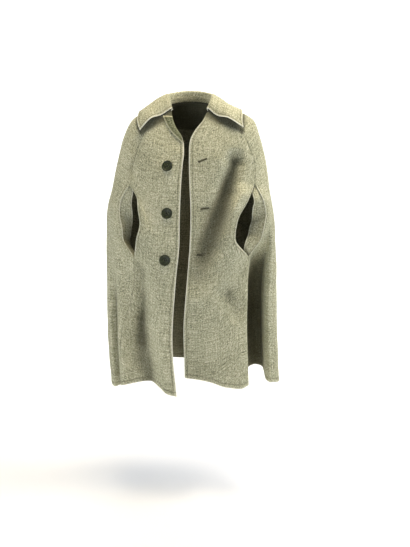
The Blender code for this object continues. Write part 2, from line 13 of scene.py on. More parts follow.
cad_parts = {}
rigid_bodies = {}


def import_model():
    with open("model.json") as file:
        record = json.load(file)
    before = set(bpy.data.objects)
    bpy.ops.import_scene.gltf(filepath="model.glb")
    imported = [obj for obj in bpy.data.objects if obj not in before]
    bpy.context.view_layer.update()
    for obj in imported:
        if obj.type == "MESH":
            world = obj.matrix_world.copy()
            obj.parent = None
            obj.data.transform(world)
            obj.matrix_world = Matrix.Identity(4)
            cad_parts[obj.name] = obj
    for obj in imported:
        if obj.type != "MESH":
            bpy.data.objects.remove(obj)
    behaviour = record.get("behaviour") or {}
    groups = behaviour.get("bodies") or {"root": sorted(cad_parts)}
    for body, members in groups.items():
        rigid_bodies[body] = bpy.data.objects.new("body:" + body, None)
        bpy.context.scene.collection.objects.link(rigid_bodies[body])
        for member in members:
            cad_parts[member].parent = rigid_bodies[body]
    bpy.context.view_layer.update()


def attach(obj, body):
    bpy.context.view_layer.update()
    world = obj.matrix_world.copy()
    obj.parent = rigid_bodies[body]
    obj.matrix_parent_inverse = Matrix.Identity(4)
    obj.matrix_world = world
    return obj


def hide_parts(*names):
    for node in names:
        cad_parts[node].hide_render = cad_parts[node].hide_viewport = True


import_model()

# Fronts, sides and back: five panels of brushed wool tweed, cut flared so that they hang in
# folds from the shoulders. The fronts and the hem are turned under, pressed and topstitched;
# the seams are pressed open and lie a little sunk.

# The rings of the cape, from the neckline to the hem, with the heights at the front, sides and
# back and the exponents of its rounded form.
RING_COLUMNS = ("level", "right_front_z_mm", "left_front_z_mm", "side_z_mm", "back_z_mm", "right_x_mm",
                "left_x_mm", "front_y_mm", "back_y_mm", "front_square", "back_square")
RINGS = (
    (0.00, -90, -55, 0, 12, -87, 62, -85, 80, 3.2, 2.2),
    (0.05, -118, -95, -12, -28, -134, 108, -98, 112, 2.9, 2.2),
    (0.10, -152, -137, -36, -73, -190, 178, -110, 138, 2.7, 2.3),
    (0.13, -170, -164, -60, -102, -220, 211, -117, 150, 2.6, 2.35),
    (0.18, -216, -215, -110, -150, -245, 231, -126, 162, 2.5, 2.4),
    (0.25, -285, -285, -185, -220, -265, 251, -134, 170, 2.4, 2.4),
    (0.35, -380, -380, -290, -320, -290, 267, -141, 173, 2.3, 2.4),
    (0.45, -475, -475, -395, -415, -312, 286, -145, 173, 2.3, 2.4),
    (0.60, -612, -612, -560, -565, -315, 297, -150, 174, 2.3, 2.4),
    (0.80, -798, -798, -790, -765, -316, 304, -155, 176, 2.3, 2.4),
    (1.00, -978, -980, -998, -960, -305, 315, -160, 180, 2.3, 2.4),
)
# Where the front edges and the side-front seams cross each ring.
CUT_COLUMNS = ("level", "right_edge_mm", "left_edge_mm", "right_seam_mm", "left_seam_mm")
CUTS = (
    (0.00, -77, 41, -85.5, 60.5),
    (0.05, -41, 3, -122, 98),
    (0.10, -34, -15, -160, 148),
    (0.13, -34, -17, -174, 168),
    (0.18, -39, -17, -194, 188),
    (0.25, -44, -15, -212, 210),
    (0.35, -48, -12, -224, 204),
    (0.45, -50, -14, -206, 191),
    (0.60, -63, -25, -206, 190),
    (0.80, -75, -37, -245, 200),
    (1.00, -60, -34, -256, 214),
)
MIDDLE_X = -0.006
SIDE_TURN = 92

# The hanging folds: how far the hem is moved at each crest and trough, and the levels
# between which the fold grows.
FOLD_COLUMNS = ("turn", "out_mm", "x_mm", "y_mm", "z_mm", "starts", "whole")
FOLDS = (
    (4, 0, 0, -4, -36, 0.60, 1.00),
    (14, 0, 0, 0, -26, 0.60, 1.00),
    (19, 0, 0, 14, -8, 0.60, 1.00),
    (27, 0, 0, 45, 10, 0.58, 1.00),
    (41, 0, 0, 20, 8, 0.50, 0.95),
    (50, 0, -10, -6, 6, 0.48, 0.85),
    (55, 0, -4, 4, 0, 0.48, 0.85),
    (60, 0, 20, 30, -3, 0.50, 0.85),
    (66, 0, 26, 34, -6, 0.50, 0.85),
    (76, 0, 8, -4, -12, 0.50, 0.85),
    (90, 0, 0, 0, -4, 0.50, 0.95),
    (105, -16, 0, 0, 2, 0.35, 1.00),
    (124, 20, 0, 0, 0, 0.35, 1.00),
    (142, -22, 0, 0, 4, 0.28, 1.00),
    (160, 18, 0, 0, 0, 0.30, 1.00),
    (177, -18, 0, 0, 3, 0.40, 1.00),
    (194, 16, 0, 0, 0, 0.40, 1.00),
    (213, -26, 0, 0, 5, 0.25, 1.00),
    (233, 20, 0, 0, 0, 0.30, 1.00),
    (250, -14, 0, 0, 2, 0.38, 1.00),
    (270, 0, 0, 6, -2, 0.45, 0.95),
    (284, 0, -2, 6, 2, 0.42, 0.80),
    (292, 0, -16, 10, 4, 0.42, 0.80),
    (298, 0, -18, 50, 4, 0.40, 0.78),
    (304, 0, -10, 150, 30, 0.40, 0.78),
    (310, 0, -18, 172, 34, 0.40, 0.78),
    (316, 0, -30, 140, 26, 0.40, 0.78),
    (320, 0, -20, 40, 6, 0.42, 0.78),
    (324, 0, -6, -12, 10, 0.45, 0.85),
    (331, 0, 0, -20, 2, 0.55, 1.00),
    (341, 0, 0, 0, 0, 0.60, 1.00),
    (352, 0, 0, 30, 12, 0.60, 1.00),
    (364, 0, 0, 48, 22, 0.60, 1.00),
)

# Soft folds and swells that lie across the rings, as lines in the front view, from top to
# bottom. The columns of a line are x, z, half the fold's width and its push, in millimetres,
# and a positive push goes towards the back.
CREASES = {
    "diagonal_fold": ("front", (
        (147, -150, 16, 0), (139, -200, 24, 32), (112, -300, 30, 48), (85, -385, 36, 50),
        (50, -480, 42, 44), (12, -580, 50, 24), (-8, -680, 50, 0))),
    "slit_ridge": ("front", (
        (190, -270, 30, 0), (172, -312, 36, -20), (130, -370, 44, -28), (108, -440, 48, -26),
        (100, -520, 45, -12), (102, -580, 40, 0))),
    "hip_hollow": ("front", (
        (100, -600, 22, 0), (118, -655, 34, 12), (142, -705, 32, 10), (152, -770, 30, 0))),
    "shoulder_crease": ("front", (
        (-172, -85, 10, 0), (-190, -140, 16, 7), (-210, -230, 14, 8), (-216, -275, 12, 0))),
    "right_hang": ("front", (
        (-186, -500, 14, 0), (-178, -580, 20, 12), (-176, -680, 24, 22), (-182, -750, 26, 30),
        (-186, -810, 30, 24), (-190, -890, 30, 10), (-190, -960, 30, 0))),
    "right_swell": ("front", (
        (-100, -170, 50, 0), (-105, -260, 50, -8), (-118, -550, 50, -8), (-122, -680, 50, 0))),
    "back_left_swell": ("back", (
        (105, -80, 24, 0), (128, -180, 30, -10), (160, -360, 30, -10), (175, -470, 30, 0))),
    "back_right_swell": ("back", (
        (-98, -70, 26, 0), (-118, -160, 34, -12), (-150, -330, 34, -12), (-166, -440, 34, 0))),
    "back_middle": ("back", (
        (8, -60, 24, 0), (12, -140, 30, 6), (18, -300, 30, 6), (22, -400, 30, 0))),
}
NEAR_LINE = 0.006
# How fast a fold of the front or the back fades out towards the sides.
SIDE_FADE = 2.2
# Fine creases that show in the cloth alone: side, then the first end, last end, width and push
# in millimetres. Each fades out over this share of its length at both ends.
CREASE_ENDS = 0.4
FINE_CREASES = (
    ("front", 153, -125, 165, -275, 8, 2.6),
    ("front", 122, -150, 132, -220, 10, 2),
    ("front", 205, -180, 198, -262, 9, 2.2),
    ("front", 60, -205, 98, -180, 16, -2.2),
    ("front", 30, -420, 70, -360, 18, 1.8),
    ("front", 126, -560, 118, -700, 14, 3),
    ("front", 80, -800, 75, -960, 15, -2.2),
    ("front", 120, -830, 128, -965, 12, 2),
    ("front", 20, -860, 16, -970, 12, 1.6),
    ("front", -196, -115, -214, -180, 7, 2.4),
    ("front", -160, -520, -178, -640, 12, 2.8),
    ("front", -176, -760, -170, -900, 16, 3.4),
    ("front", -120, -780, -112, -930, 14, -2),
    ("front", -96, -690, -90, -800, 18, 1.6),
    ("front", -130, -180, -150, -290, 16, 1.4),
    ("front", -205, -330, -190, -400, 10, -2),
    ("front", 262, -300, 270, -480, 12, 2),
    ("front", -285, -330, -296, -560, 14, 2.2),
    ("back", 60, -140, 85, -330, 11, -2.2),
    ("back", -70, -120, -85, -260, 9, -2),
    ("back", 190, -250, 215, -520, 14, -2.6),
    ("back", -200, -220, -220, -430, 12, -2.4),
    ("back", -20, -420, -30, -640, 16, -2.2),
    ("back", 110, -560, 120, -760, 15, 2),
    ("back", -130, -600, -124, -820, 13, -2.4),
)

# The arm slits in the side-front seams, and how far each edge is drawn open on the way down.
SLIT_TOP = 0.300
SLIT_BOTTOM = 0.530
SLIT_SPREAD = {"front": 0.085, "side": 0.100}
SLIT_BLUR = 1.1
SLIT_SAMPLES = (-1.5, -1.0, -0.5, 0.0, 0.5, 1.0, 1.5)
# Over how many degrees the slits' pull fades out before the side seams.
SLIT_FADE = 30
SLIT_COLUMNS = ("part", "front_x_mm", "front_y_mm", "front_z_mm", "side_x_mm", "side_y_mm", "side_z_mm")
RIGHT_SLIT = (
    (0.00, 0, 0, 0, 0, 0, 0),
    (0.22, 30, -22, 0, -26, 12, 0),
    (0.45, 28, -30, 0, -40, 20, 0),
    (0.70, 9, -26, 0, -40, 22, 0),
    (1.00, 0, 0, 0, 0, 0, 0),
)
LEFT_SLIT = (
    (0.00, 0, 0, 0, 0, 0, 0),
    (0.22, -20, -22, 0, 34, 6, 0),
    (0.45, -46, -40, 0, 50, 12, 0),
    (0.70, -50, -42, 0, 44, 12, 0),
    (1.00, 0, 0, 0, 0, 0, 0),
)

CLOTH_THICK = 0.0022
TURNED_THICK = 0.0032
SEAM_GAP = 0.0006
SEAM_SUNK = 0.0006
SEAM_WIDE = 0.0020
STITCH_IN = 0.0105
HEM_STITCH_IN = 0.015
HEM_FOLD_IN = 0.046
GROOVE_DEEP = 0.0008
GROOVE_WIDE = 0.0016
PUFF_HIGH = 0.0005
PUCKER_LENGTH = 0.017
PUCKER_SHARE = 0.35
TURNED_RAMP = 0.004
HEM_FOLD_WIDE = 0.0026
HEM_FOLD_DEEP = 0.0005
# The hem's fold line and the sunk seams are painted darker by these shares, as shade in their grooves.
HEM_FOLD_SHADE = 0.45
SEAM_SHADE = 0.2
ROUND_SHARE = 0.46
DRAPE_DEEP = 0.0011
DRAPE_LENGTH = 0.075
PANEL_LENGTH = 0.93
ROW_STEP = 0.0034
FOLD_SHADE_REACH = 16
FOLD_SHADE_DEEP = 0.018
TROUGH_SHADE_DEEP = 0.052


MM = 1000


def columns(names, rows):
    """A table's columns by name. Those in millimetres are turned into metres."""
    table = {}
    for at, name in enumerate(names):
        value = np.array([row[at] for row in rows])
        table[name.removesuffix("_mm")] = value / MM if name.endswith("_mm") else value
    return table


def hermite(at, values, slope, x):
    """A curve through the values, with a slope at each."""
    k = np.clip(np.searchsorted(at, x, side="right") - 1, 0, len(at) - 2)
    step = at[k + 1] - at[k]
    t = (x - at[k]) / step
    rise = values[k] * (1 + 2 * t) * (1 - t) ** 2 + values[k + 1] * t ** 2 * (3 - 2 * t)
    return rise + step * (slope[k] * t * (1 - t) ** 2 + slope[k + 1] * t ** 2 * (t - 1))


def smooth(at, values, x):
    """Follow the values through the rows without a bump between two of them."""
    at = np.asarray(at, float)
    values = np.asarray(values, float)
    step = np.diff(at)
    slope = np.diff(values) / step
    tangent = np.zeros(len(at))
    tangent[0] = slope[0]
    tangent[-1] = slope[-1]
    for i in range(1, len(at) - 1):
        if slope[i - 1] * slope[i] > 0:
            before = 2 * step[i] + step[i - 1]
            after = step[i] + 2 * step[i - 1]
            tangent[i] = (before + after) / (before / slope[i - 1] + after / slope[i])
    return hermite(at, values, tangent, np.clip(x, at[0], at[-1]))


def ease(t):
    t = np.clip(t, 0.0, 1.0)
    return t * t * (3 - 2 * t)


RING = columns(RING_COLUMNS, RINGS) | columns(CUT_COLUMNS, CUTS)
FOLD = columns(FOLD_COLUMNS, FOLDS)
SLITS = {"right": columns(SLIT_COLUMNS, RIGHT_SLIT), "left": columns(SLIT_COLUMNS, LEFT_SLIT)}


def ring(name, level):
    return smooth(RING["level"], RING[name], level)


def turn_at(column, level):
    """The turn at which a ring passes the X given in a column."""
    x = ring(column, level)
    reach = np.where(x < MIDDLE_X, ring("right_x", level), ring("left_x", level)) - MIDDLE_X
    share = np.clip((x - MIDDLE_X) / reach, 0.0, 1.0) ** (ring("front_square", level) / 2)
    turn = np.degrees(np.arcsin(share))
    if column.startswith("left"):
        return np.where(x < MIDDLE_X, 360 + turn, 360 - turn)
    return np.where(x < MIDDLE_X, turn, -turn)


def bare(turn, level):
    """The ring's own form, before any fold."""
    angle = np.radians(turn)
    sine = np.sin(angle)
    cosine = np.cos(angle)
    power = 2 / np.where(cosine > 0, ring("front_square", level), ring("back_square", level))
    wide = np.where(sine > 0, ring("right_x", level), ring("left_x", level)) - MIDDLE_X
    deep = np.where(cosine > 0, ring("front_y", level), ring("back_y", level))
    x = MIDDLE_X + wide * np.abs(sine) ** power
    y = deep * np.abs(cosine) ** power
    side = ring("side_z", level)
    front = np.where(turn < 180, ring("right_front_z", level), ring("left_front_z", level))
    z = side + (front - side) * np.clip(cosine, 0, 1) ** 2
    z = z + (ring("back_z", level) - side) * np.clip(-cosine, 0, 1) ** 2
    return np.stack([x, y, z], axis=-1)


def from_line(point, x0, z0, x1, z1):
    """In the front view, the share of a line's length nearest a point, and the squared distance."""
    dx = x1 - x0
    dz = z1 - z0
    t = np.clip(((point[..., 0] - x0) * dx + (point[..., 2] - z0) * dz) / (dx * dx + dz * dz), 0, 1)
    return t, (point[..., 0] - x0 - t * dx) ** 2 + (point[..., 2] - z0 - t * dz) ** 2


def push_along(point, line):
    """How far a line in the front view pushes a point, smoothly from one stretch to the next."""
    total = 0.0
    weight = 0.0
    line = np.array(line) / MM
    for (x0, z0, wide0, push0), (x1, z1, wide1, push1) in zip(line, line[1:]):
        t, gap = from_line(point, x0, z0, x1, z1)
        near = 1 / (gap + NEAR_LINE ** 2) ** 3
        push = push0 + (push1 - push0) * ease(t)
        total = total + near * push * np.exp(-gap / (wide0 + (wide1 - wide0) * t) ** 2)
        weight = weight + near
    return total / weight


def crease(point, x0, z0, x1, z1, wide):
    """How strongly a fine crease acts at a point; it fades out at both ends."""
    t, gap = from_line(point, x0, z0, x1, z1)
    return np.exp(-gap / (wide * wide)) * ease(np.minimum(t, 1 - t) / CREASE_ENDS)


def on_side(turn, side):
    """1 on the front or the back of the cape, fading to 0 at its sides."""
    return ease(np.cos(np.radians(turn)) * (1 if side == "front" else -1) * SIDE_FADE)


def cape(turn, level, panel=None, fine=False):
    """A point of the cape's outer face. A panel beside a slit takes that slit's pull."""
    turn, level = np.broadcast_arrays(np.asarray(turn, float), np.asarray(level, float))
    point = bare(turn, level)
    ahead = bare(turn + 0.5, level) - bare(turn - 0.5, level)
    outward = np.stack([-ahead[..., 1], ahead[..., 0]], axis=-1)
    outward = outward / np.maximum(np.linalg.norm(outward, axis=-1, keepdims=True), 1e-9)
    starts = smooth(FOLD["turn"], FOLD["starts"], turn)
    whole = smooth(FOLD["turn"], FOLD["whole"], turn)
    grown = ease((level - starts) / (whole - starts))
    out = smooth(FOLD["turn"], FOLD["out"], turn) * grown
    move = np.stack([smooth(FOLD["turn"], FOLD[axis], turn) * grown for axis in "xyz"], axis=-1)
    result = point + move
    result[..., 0] += outward[..., 0] * out
    result[..., 1] += outward[..., 1] * out
    for side, line in CREASES.values():
        result[..., 1] += on_side(turn, side) * push_along(point, line)
    if fine:
        for side, *line in FINE_CREASES:
            x0, z0, x1, z1, wide, push = np.array(line) / MM
            result[..., 1] += push * on_side(turn, side) * crease(point, x0, z0, x1, z1, wide)
    if panel:
        which, half = panel
        slit = SLITS[half]
        seam = bare(turn_at(half + "_seam", level), level)
        gap = np.linalg.norm(point - seam, axis=-1)
        near = np.exp(-(gap / SLIT_SPREAD[which]) ** 2)
        near = near * ease((SIDE_TURN - np.abs(turn - (0 if half == "right" else 360))) / SLIT_FADE)
        for share in SLIT_SAMPLES:
            part = (level + share * gap * SLIT_BLUR - SLIT_TOP) / (SLIT_BOTTOM - SLIT_TOP)
            for at, axis in enumerate("xyz"):
                pull = smooth(slit["part"], slit[which + "_" + axis], part)
                result[..., at] += pull * near / len(SLIT_SAMPLES)
    return result


def cape_out(turn, level, panel=None):
    """The cape's outward direction, square to its face."""
    turn, level = np.broadcast_arrays(np.asarray(turn, float), np.asarray(level, float))
    low = np.clip(level - 0.002, 0, 1)
    high = np.clip(level + 0.002, 0, 1)
    round_it = cape(turn + 0.4, level, panel) - cape(turn - 0.4, level, panel)
    down_it = cape(turn, high, panel) - cape(turn, low, panel)
    out = np.cross(round_it, down_it)
    return out / np.maximum(np.linalg.norm(out, axis=-1, keepdims=True), 1e-12)


def edge_steps(stitch_in):
    """Distances in from a finished edge, close together at its rim and at its stitching."""
    return stitch_in * np.array([0, 0.05, 0.12, 0.22, 0.40, 0.65, 0.85, 1.0, 1.15, 1.4])


def arc(points, axis):
    """The length along a grid's rows or columns, from 0 at the first point."""
    step = np.linalg.norm(np.diff(points, axis=axis), axis=-1)
    total = np.cumsum(step, axis=axis)
    pad = [(1, 0) if at == axis else (0, 0) for at in (0, 1)]
    return np.pad(total, pad)


def facing_out(grid):
    """The outward direction at each point of a grid."""
    out = np.cross(np.gradient(grid, axis=1), np.gradient(grid, axis=0))
    return out / np.maximum(np.linalg.norm(out, axis=-1, keepdims=True), 1e-12)


def along_row(panel, level, reach):
    """The turns that lie some metres along each row, counted back from its end if negative."""
    start, end = [(0 * level + side if np.isreal(side) else turn_at(side, level))[:, None]
                  for side in (panel["start"], panel["end"])]
    turn = start + (end - start) * np.linspace(0, 1, 260)[None, :]
    length = arc(cape(turn, level[:, None], panel["side"]), 1)
    reach = np.broadcast_to(np.asarray(reach, float), (len(level), np.shape(reach)[-1]))
    result = np.empty(reach.shape)
    for i in range(len(level)):
        at = np.where(reach[i] < 0, length[i, -1] + reach[i], reach[i])
        result[i] = np.interp(at, length[i], turn[i])
    return result, length[:, -1]


def panel_grid(panel):
    """The points of a panel, with close rows and columns at its edges and stitching."""
    hem = 1 - edge_steps(HEM_STITCH_IN)[::-1] / PANEL_LENGTH
    rows = int(PANEL_LENGTH / ROW_STEP)
    level = np.concatenate([np.linspace(0, hem[0], rows)[:-1], hem])
    _, length = along_row(panel, level, [0.0])
    near = edge_steps(STITCH_IN)
    scale = np.minimum(1, length / (near[-1] * 4))[:, None]
    first = near[None, :] * scale
    last = length[:, None] - first[:, ::-1]
    share = np.linspace(0, 1, panel["columns"] + 2)[None, 1:-1]
    between = first[:, -1:] + (last[:, :1] - first[:, -1:]) * share
    turn, _ = along_row(panel, level, np.concatenate([first, between, last], axis=1))
    return cape(turn, level[:, None], panel["side"], True), turn, level


def uneven(points, length):
    """Slow unevenness of cloth that has hung and been handled, about -1 to 1."""
    flat = points.reshape(-1, 3) / length
    return np.array([noise.noise(Vector(p)) for p in flat]).reshape(points.shape[:-1]) * 1.6


def fold_shade_mask(grid, out):
    """How much painted shade the cloth takes: 1 where it lies deep in a fold, 0 on its crests."""
    mean = grid
    for axis in (0, 1, 0, 1):
        reach = min(FOLD_SHADE_REACH, grid.shape[axis] // 2 - 1)
        pad = [(reach + 1, reach) if at == axis else (0, 0) for at in range(3)]
        total = np.cumsum(np.pad(mean, pad, mode="edge"), axis=axis)
        far = np.take(total, range(2 * reach + 1, total.shape[axis]), axis=axis)
        near = np.take(total, range(0, total.shape[axis] - 2 * reach - 1), axis=axis)
        mean = (far - near) / (2 * reach + 1)
    return ease(((mean - grid) * out).sum(axis=-1) / FOLD_SHADE_DEEP)


def trough_shade_mask(grid, turn):
    """How much painted shade the cloth takes in a deep fold across the rings: 1 in its middle, 0 beside it.
    """
    deep = 0.0
    for side, line in CREASES.values():
        deep = deep + on_side(turn, side) * np.maximum(push_along(grid, line), 0)
    return ease(deep / TROUGH_SHADE_DEEP)


def rounded(distance, thick):
    """How far a face drops towards the middle of the wall at a rounded edge."""
    radius = thick * ROUND_SHARE
    inside = np.clip(radius - distance, 0, radius)
    return radius - np.sqrt(radius ** 2 - inside ** 2)


# How wide a finished edge is painted pale, partly as wear and partly as a highlight on its
# rounded edge, and how fast the rim fades as the edge is turned less.
RIM_WIDE = 0.0029
RIM_FADE = 3
surface = {}


def cloth_shell(name, grid, finish, material, grain=0.0, drape=DRAPE_DEEP, fold_in=None, deep=0.0):
    """A closed sheet of cloth. Finish says for each border how far it is turned under and
    topstitched, how far it is a sunk seam, and how far in its stitching lies. A panel with a
    hem's fold line is of one layer, and its inner face, the cloth's wrong side, is painted
    darker as shade inside the coat. Deep adds painted shade in the troughs of folds."""
    down = arc(grid, 0)
    over = arc(grid, 1)
    gaps = {"first": over, "last": over[:, -1:] - over, "top": down, "bottom": down[-1:] - down}
    lie = drape * uneven(grid, DRAPE_LENGTH)
    thick = np.full(grid.shape[:2], CLOTH_THICK)
    drop = np.zeros(grid.shape[:2])
    rim = np.zeros(grid.shape[:2])
    painted_groove_shade = np.zeros(grid.shape[:2])
    for border, (turned, seam, stitch_in) in finish.items():
        gap = gaps[border]
        along = down if border in ("first", "last") else over
        turned = np.broadcast_to(turned, gap.shape) if np.ndim(turned) == 0 else turned[:, None]
        seam = np.broadcast_to(seam, gap.shape) if np.ndim(seam) == 0 else seam[:, None]
        pucker = np.sin(2 * np.pi * along / PUCKER_LENGTH + 4 * uneven(grid, 0.05))
        groove = np.exp(-((gap - stitch_in) / GROOVE_WIDE) ** 2)
        puff = np.exp(-((gap - stitch_in * 0.5) / (stitch_in * 0.35)) ** 2)
        lie = lie + turned * (puff * PUFF_HIGH - groove * GROOVE_DEEP * (1 + PUCKER_SHARE * pucker))
        lie = lie - seam * SEAM_SUNK * np.exp(-(gap / SEAM_WIDE) ** 2)
        thick = thick + turned * (TURNED_THICK - CLOTH_THICK) * ease((stitch_in - gap) / TURNED_RAMP)
        drop = np.maximum(drop, np.maximum(turned, 0.4) * rounded(gap, CLOTH_THICK))
        rim = np.maximum(rim, turned ** RIM_FADE * np.exp(-(gap / RIM_WIDE) ** 2))
        # The stitching grooves and the sunk seams are painted darker, as shade.
        painted_groove_shade = np.maximum(painted_groove_shade, turned * groove)
        painted_groove_shade = np.maximum(painted_groove_shade, seam * SEAM_SHADE * np.exp(-(gap / SEAM_WIDE) ** 2))
    if fold_in:
        mark = np.exp(-((gaps["bottom"] - fold_in) / HEM_FOLD_WIDE) ** 2)
        lie = lie - mark * HEM_FOLD_DEEP
        # The hem's fold line is painted darker, as shade.
        painted_groove_shade = np.maximum(painted_groove_shade, mark * HEM_FOLD_SHADE)
    out = facing_out(grid)
    outer = grid + out * (lie - drop)[..., None]
    inner = grid + out * (lie - thick + drop)[..., None]
    surface[name] = (outer, out, gaps)
    uv = np.stack([over - over[:, [int(grain * (over.shape[1] - 1))]], -down], axis=-1)
    # Painted shade: the cloth is darkened deep in its folds, and as far as deep asks.
    marks = {"rim": rim, "painted_groove_shade": painted_groove_shade, "painted_shade": np.maximum(fold_shade_mask(grid, out), deep)}
    return shell(name, outer, inner, uv, marks, 1.0 if fold_in else 0.0, material)


def mesh_of(name, points, faces, edges=()):
    mesh = bpy.data.meshes.new(name)
    mesh.from_pydata(points, edges, faces)
    return mesh


def in_scene(name, data):
    body = bpy.data.objects.new(name, data)
    bpy.context.scene.collection.objects.link(body)
    return body


def dress(piece, node):
    """Put a piece in the place of its CAD node, on the one body."""
    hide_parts(node)
    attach(piece, "root")


def shell(name, outer, inner, uv, marks, inside, material):
    """Close an outer and an inner grid into one sheet, with its flat position as a UV map."""
    rows, count = outer.shape[:2]
    points = np.concatenate([outer.reshape(-1, 3), inner.reshape(-1, 3)])
    deep = rows * count
    a = (np.arange(rows - 1)[:, None] * count + np.arange(count - 1)[None, :]).ravel()
    face = np.stack([a, a + 1, a + count + 1, a + count], axis=1)
    border = list(range(count))
    border += [i * count + count - 1 for i in range(1, rows)]
    border += [(rows - 1) * count + j for j in range(count - 2, -1, -1)]
    border += [i * count for i in range(rows - 2, 0, -1)]
    border = np.array(border)
    after = np.roll(border, -1)
    walls = np.stack([after, border, deep + border, deep + after], axis=1)
    faces = np.concatenate([face, deep + face[:, ::-1], walls])
    mesh = mesh_of(name, points.tolist(), faces.tolist())
    work = bmesh.new()
    work.from_mesh(mesh)
    bmesh.ops.recalc_face_normals(work, faces=work.faces)
    work.to_mesh(mesh)
    work.free()
    corner = np.empty(len(mesh.loops), int)
    mesh.loops.foreach_get("vertex_index", corner)
    flat = np.concatenate([uv.reshape(-1, 2)] * 2)
    mesh.uv_layers.new(name="cloth").data.foreach_set("uv", flat[corner].ravel())
    values = {mark: np.concatenate([value.ravel()] * 2) for mark, value in marks.items()}
    # The inner faces of the one-layer panels are painted darker, as shade inside the coat.
    values["inside"] = np.repeat([0.0, inside], rows * count)
    for mark, value in values.items():
        mesh.attributes.new(mark, "FLOAT", "POINT").data.foreach_set("value", value)
    mesh.shade_smooth()
    mesh.materials.append(material)
    return in_scene(name, mesh)


def srgb(code, alpha=1.0):
    """An sRGB hex colour as Blender's linear one."""
    part = [int(code[i:i + 2], 16) / 255 for i in (1, 3, 5)]
    return (*[c / 12.92 if c <= 0.04045 else ((c + 0.055) / 1.055) ** 2.4 for c in part], alpha)


def add(tree, kind, put=None, stops=(), **settings):
    """Add a node with its settings; put fills its inputs with values or with links, and stops
    are the places and colours of its colour ramp."""
    new = tree.nodes.new(kind)
    for name, value in settings.items():
        setattr(new, name, value)
    for name, value in (put or {}).items():
        if isinstance(value, bpy.types.NodeSocket):
            tree.links.new(value, new.inputs[name])
        else:
            new.inputs[name].default_value = value
    for at, (place, code) in enumerate(stops):
        band = new.color_ramp.elements
        spot = band[at] if at < len(band) else band.new(place)
        spot.position = place
        spot.color = srgb(code)
    return new


def new_material(name, roughness, ior=1.5):
    paint = bpy.data.materials.new(name)
    paint.use_nodes = True
    shader = paint.node_tree.nodes["Principled BSDF"]
    shader.inputs["Roughness"].default_value = roughness
    shader.inputs["IOR"].default_value = ior
    return paint, paint.node_tree, shader


# Tweed: two-ply woollen yarn in sage and cream, loosely woven and lightly brushed. The eye sees
# salt-and-pepper flecks, faint bars where a thick thread runs, and a soft nap that lightens at
# a slant. The yarns are 1.6 mm apart on the real one and drawn 2.6 mm apart, which still shows.
YARN = 0.0026
# Each pattern by name: its size across and down the cloth in metres, its detail, and its share
# of the shade.
TWEED_PATTERNS = {
    "warp": (YARN, 0.0070, 1.0, 0.0),
    "weft": (0.0070, YARN, 1.0, 0.0),
    "slub_down": (0.0032, 0.0600, 0.0, 0.16),
    "slub_over": (0.0600, 0.0032, 0.0, 0.16),
    "mottle": (0.0055, 0.0055, 2.0, 0.34),
    "cloud": (0.1100, 0.1500, 1.0, 0.10),
    "fluff": (0.0011, 0.0011, 3.0, 0.0),
}
WEAVE_SHARE = 0.54
# How strongly each mark on the cloth paints it over: the rim with its pale colour, the others
# with painted shade in the grooves, deep in the folds, under the collar's leaf and inside the coat.
MARKS = {"rim": 0.95, "painted_groove_shade": 0.45, "painted_shade": 0.80, "inside": 0.62}


def tweed(name, shades, rim_shade, painted_shade_colour):
    paint, tree, shader = new_material(name, 0.92, 1.45)
    shader.inputs["Sheen Weight"].default_value = 0.20
    shader.inputs["Sheen Roughness"].default_value = 0.55
    shader.inputs["Sheen Tint"].default_value = srgb("#E2DEC8")
    shader.inputs["Specular IOR Level"].default_value = 0.18
    flat = add(tree, "ShaderNodeUVMap", uv_map="cloth").outputs["UV"]
    pattern = {}
    for what, (across, down, detail, _) in TWEED_PATTERNS.items():
        sized = add(tree, "ShaderNodeMapping", {"Vector": flat, "Scale": (1 / across, 1 / down, 1)})
        pattern[what] = add(tree, "ShaderNodeTexNoise",
                            {"Vector": sized.outputs["Vector"], "Scale": 1.0, "Detail": detail},
                            noise_dimensions="2D").outputs["Fac"]
    sized = add(tree, "ShaderNodeMapping", {"Vector": flat, "Scale": (1 / YARN, 1 / YARN, 1)})
    checks = add(tree, "ShaderNodeTexChecker", {"Vector": sized.outputs["Vector"], "Scale": 1.0})
    weave = add(tree, "ShaderNodeMix", {"Factor": checks.outputs["Fac"], "A": pattern["warp"],
                                        "B": pattern["weft"]}).outputs["Result"]
    level = add(tree, "ShaderNodeMath", {0: weave, 1: WEAVE_SHARE}, operation="MULTIPLY").outputs["Value"]
    for what, (_, _, _, share) in TWEED_PATTERNS.items():
        if share:
            level = add(tree, "ShaderNodeMath", {0: pattern[what], 1: share, 2: level},
                        operation="MULTIPLY_ADD").outputs["Value"]
    colour = add(tree, "ShaderNodeValToRGB", {"Fac": level}, shades).outputs["Color"]
    for mark, strength in MARKS.items():
        shade = rim_shade if mark == "rim" else painted_shade_colour
        worn = add(tree, "ShaderNodeAttribute", attribute_name=mark).outputs["Fac"]
        worn = add(tree, "ShaderNodeMath", {0: worn, 1: strength}, operation="MULTIPLY").outputs["Value"]
        colour = add(tree, "ShaderNodeMix", {"Factor": worn, "A": colour, "B": srgb(shade)},
                     data_type="RGBA").outputs["Result"]
    tree.links.new(colour, shader.inputs["Base Color"])
    height = add(tree, "ShaderNodeMath", {0: pattern["fluff"], 1: 0.6, 2: weave},
                 operation="MULTIPLY_ADD").outputs["Value"]
    bump = add(tree, "ShaderNodeBump", {"Height": height, "Strength": 0.5, "Distance": 0.0009})
    tree.links.new(bump.outputs["Normal"], shader.inputs["Normal"])
    return paint


# The tweed's shades, the pale colour of its rims, and the colour of its painted shade.
TWEED = tweed("wool_tweed_woven_brushed",
              ((0.44, "#5C5E49"), (0.58, "#96967A"), (0.68, "#B3B192"), (0.84, "#DEDBBE")),
              "#EAE8D2", "#3E3D2C")


def slit_share(level):
    """1 along the slit, 0 above and below it."""
    part = (level - SLIT_TOP) / (SLIT_BOTTOM - SLIT_TOP)
    return ease(np.minimum(part, 1 - part) / SLIT_ENDS)


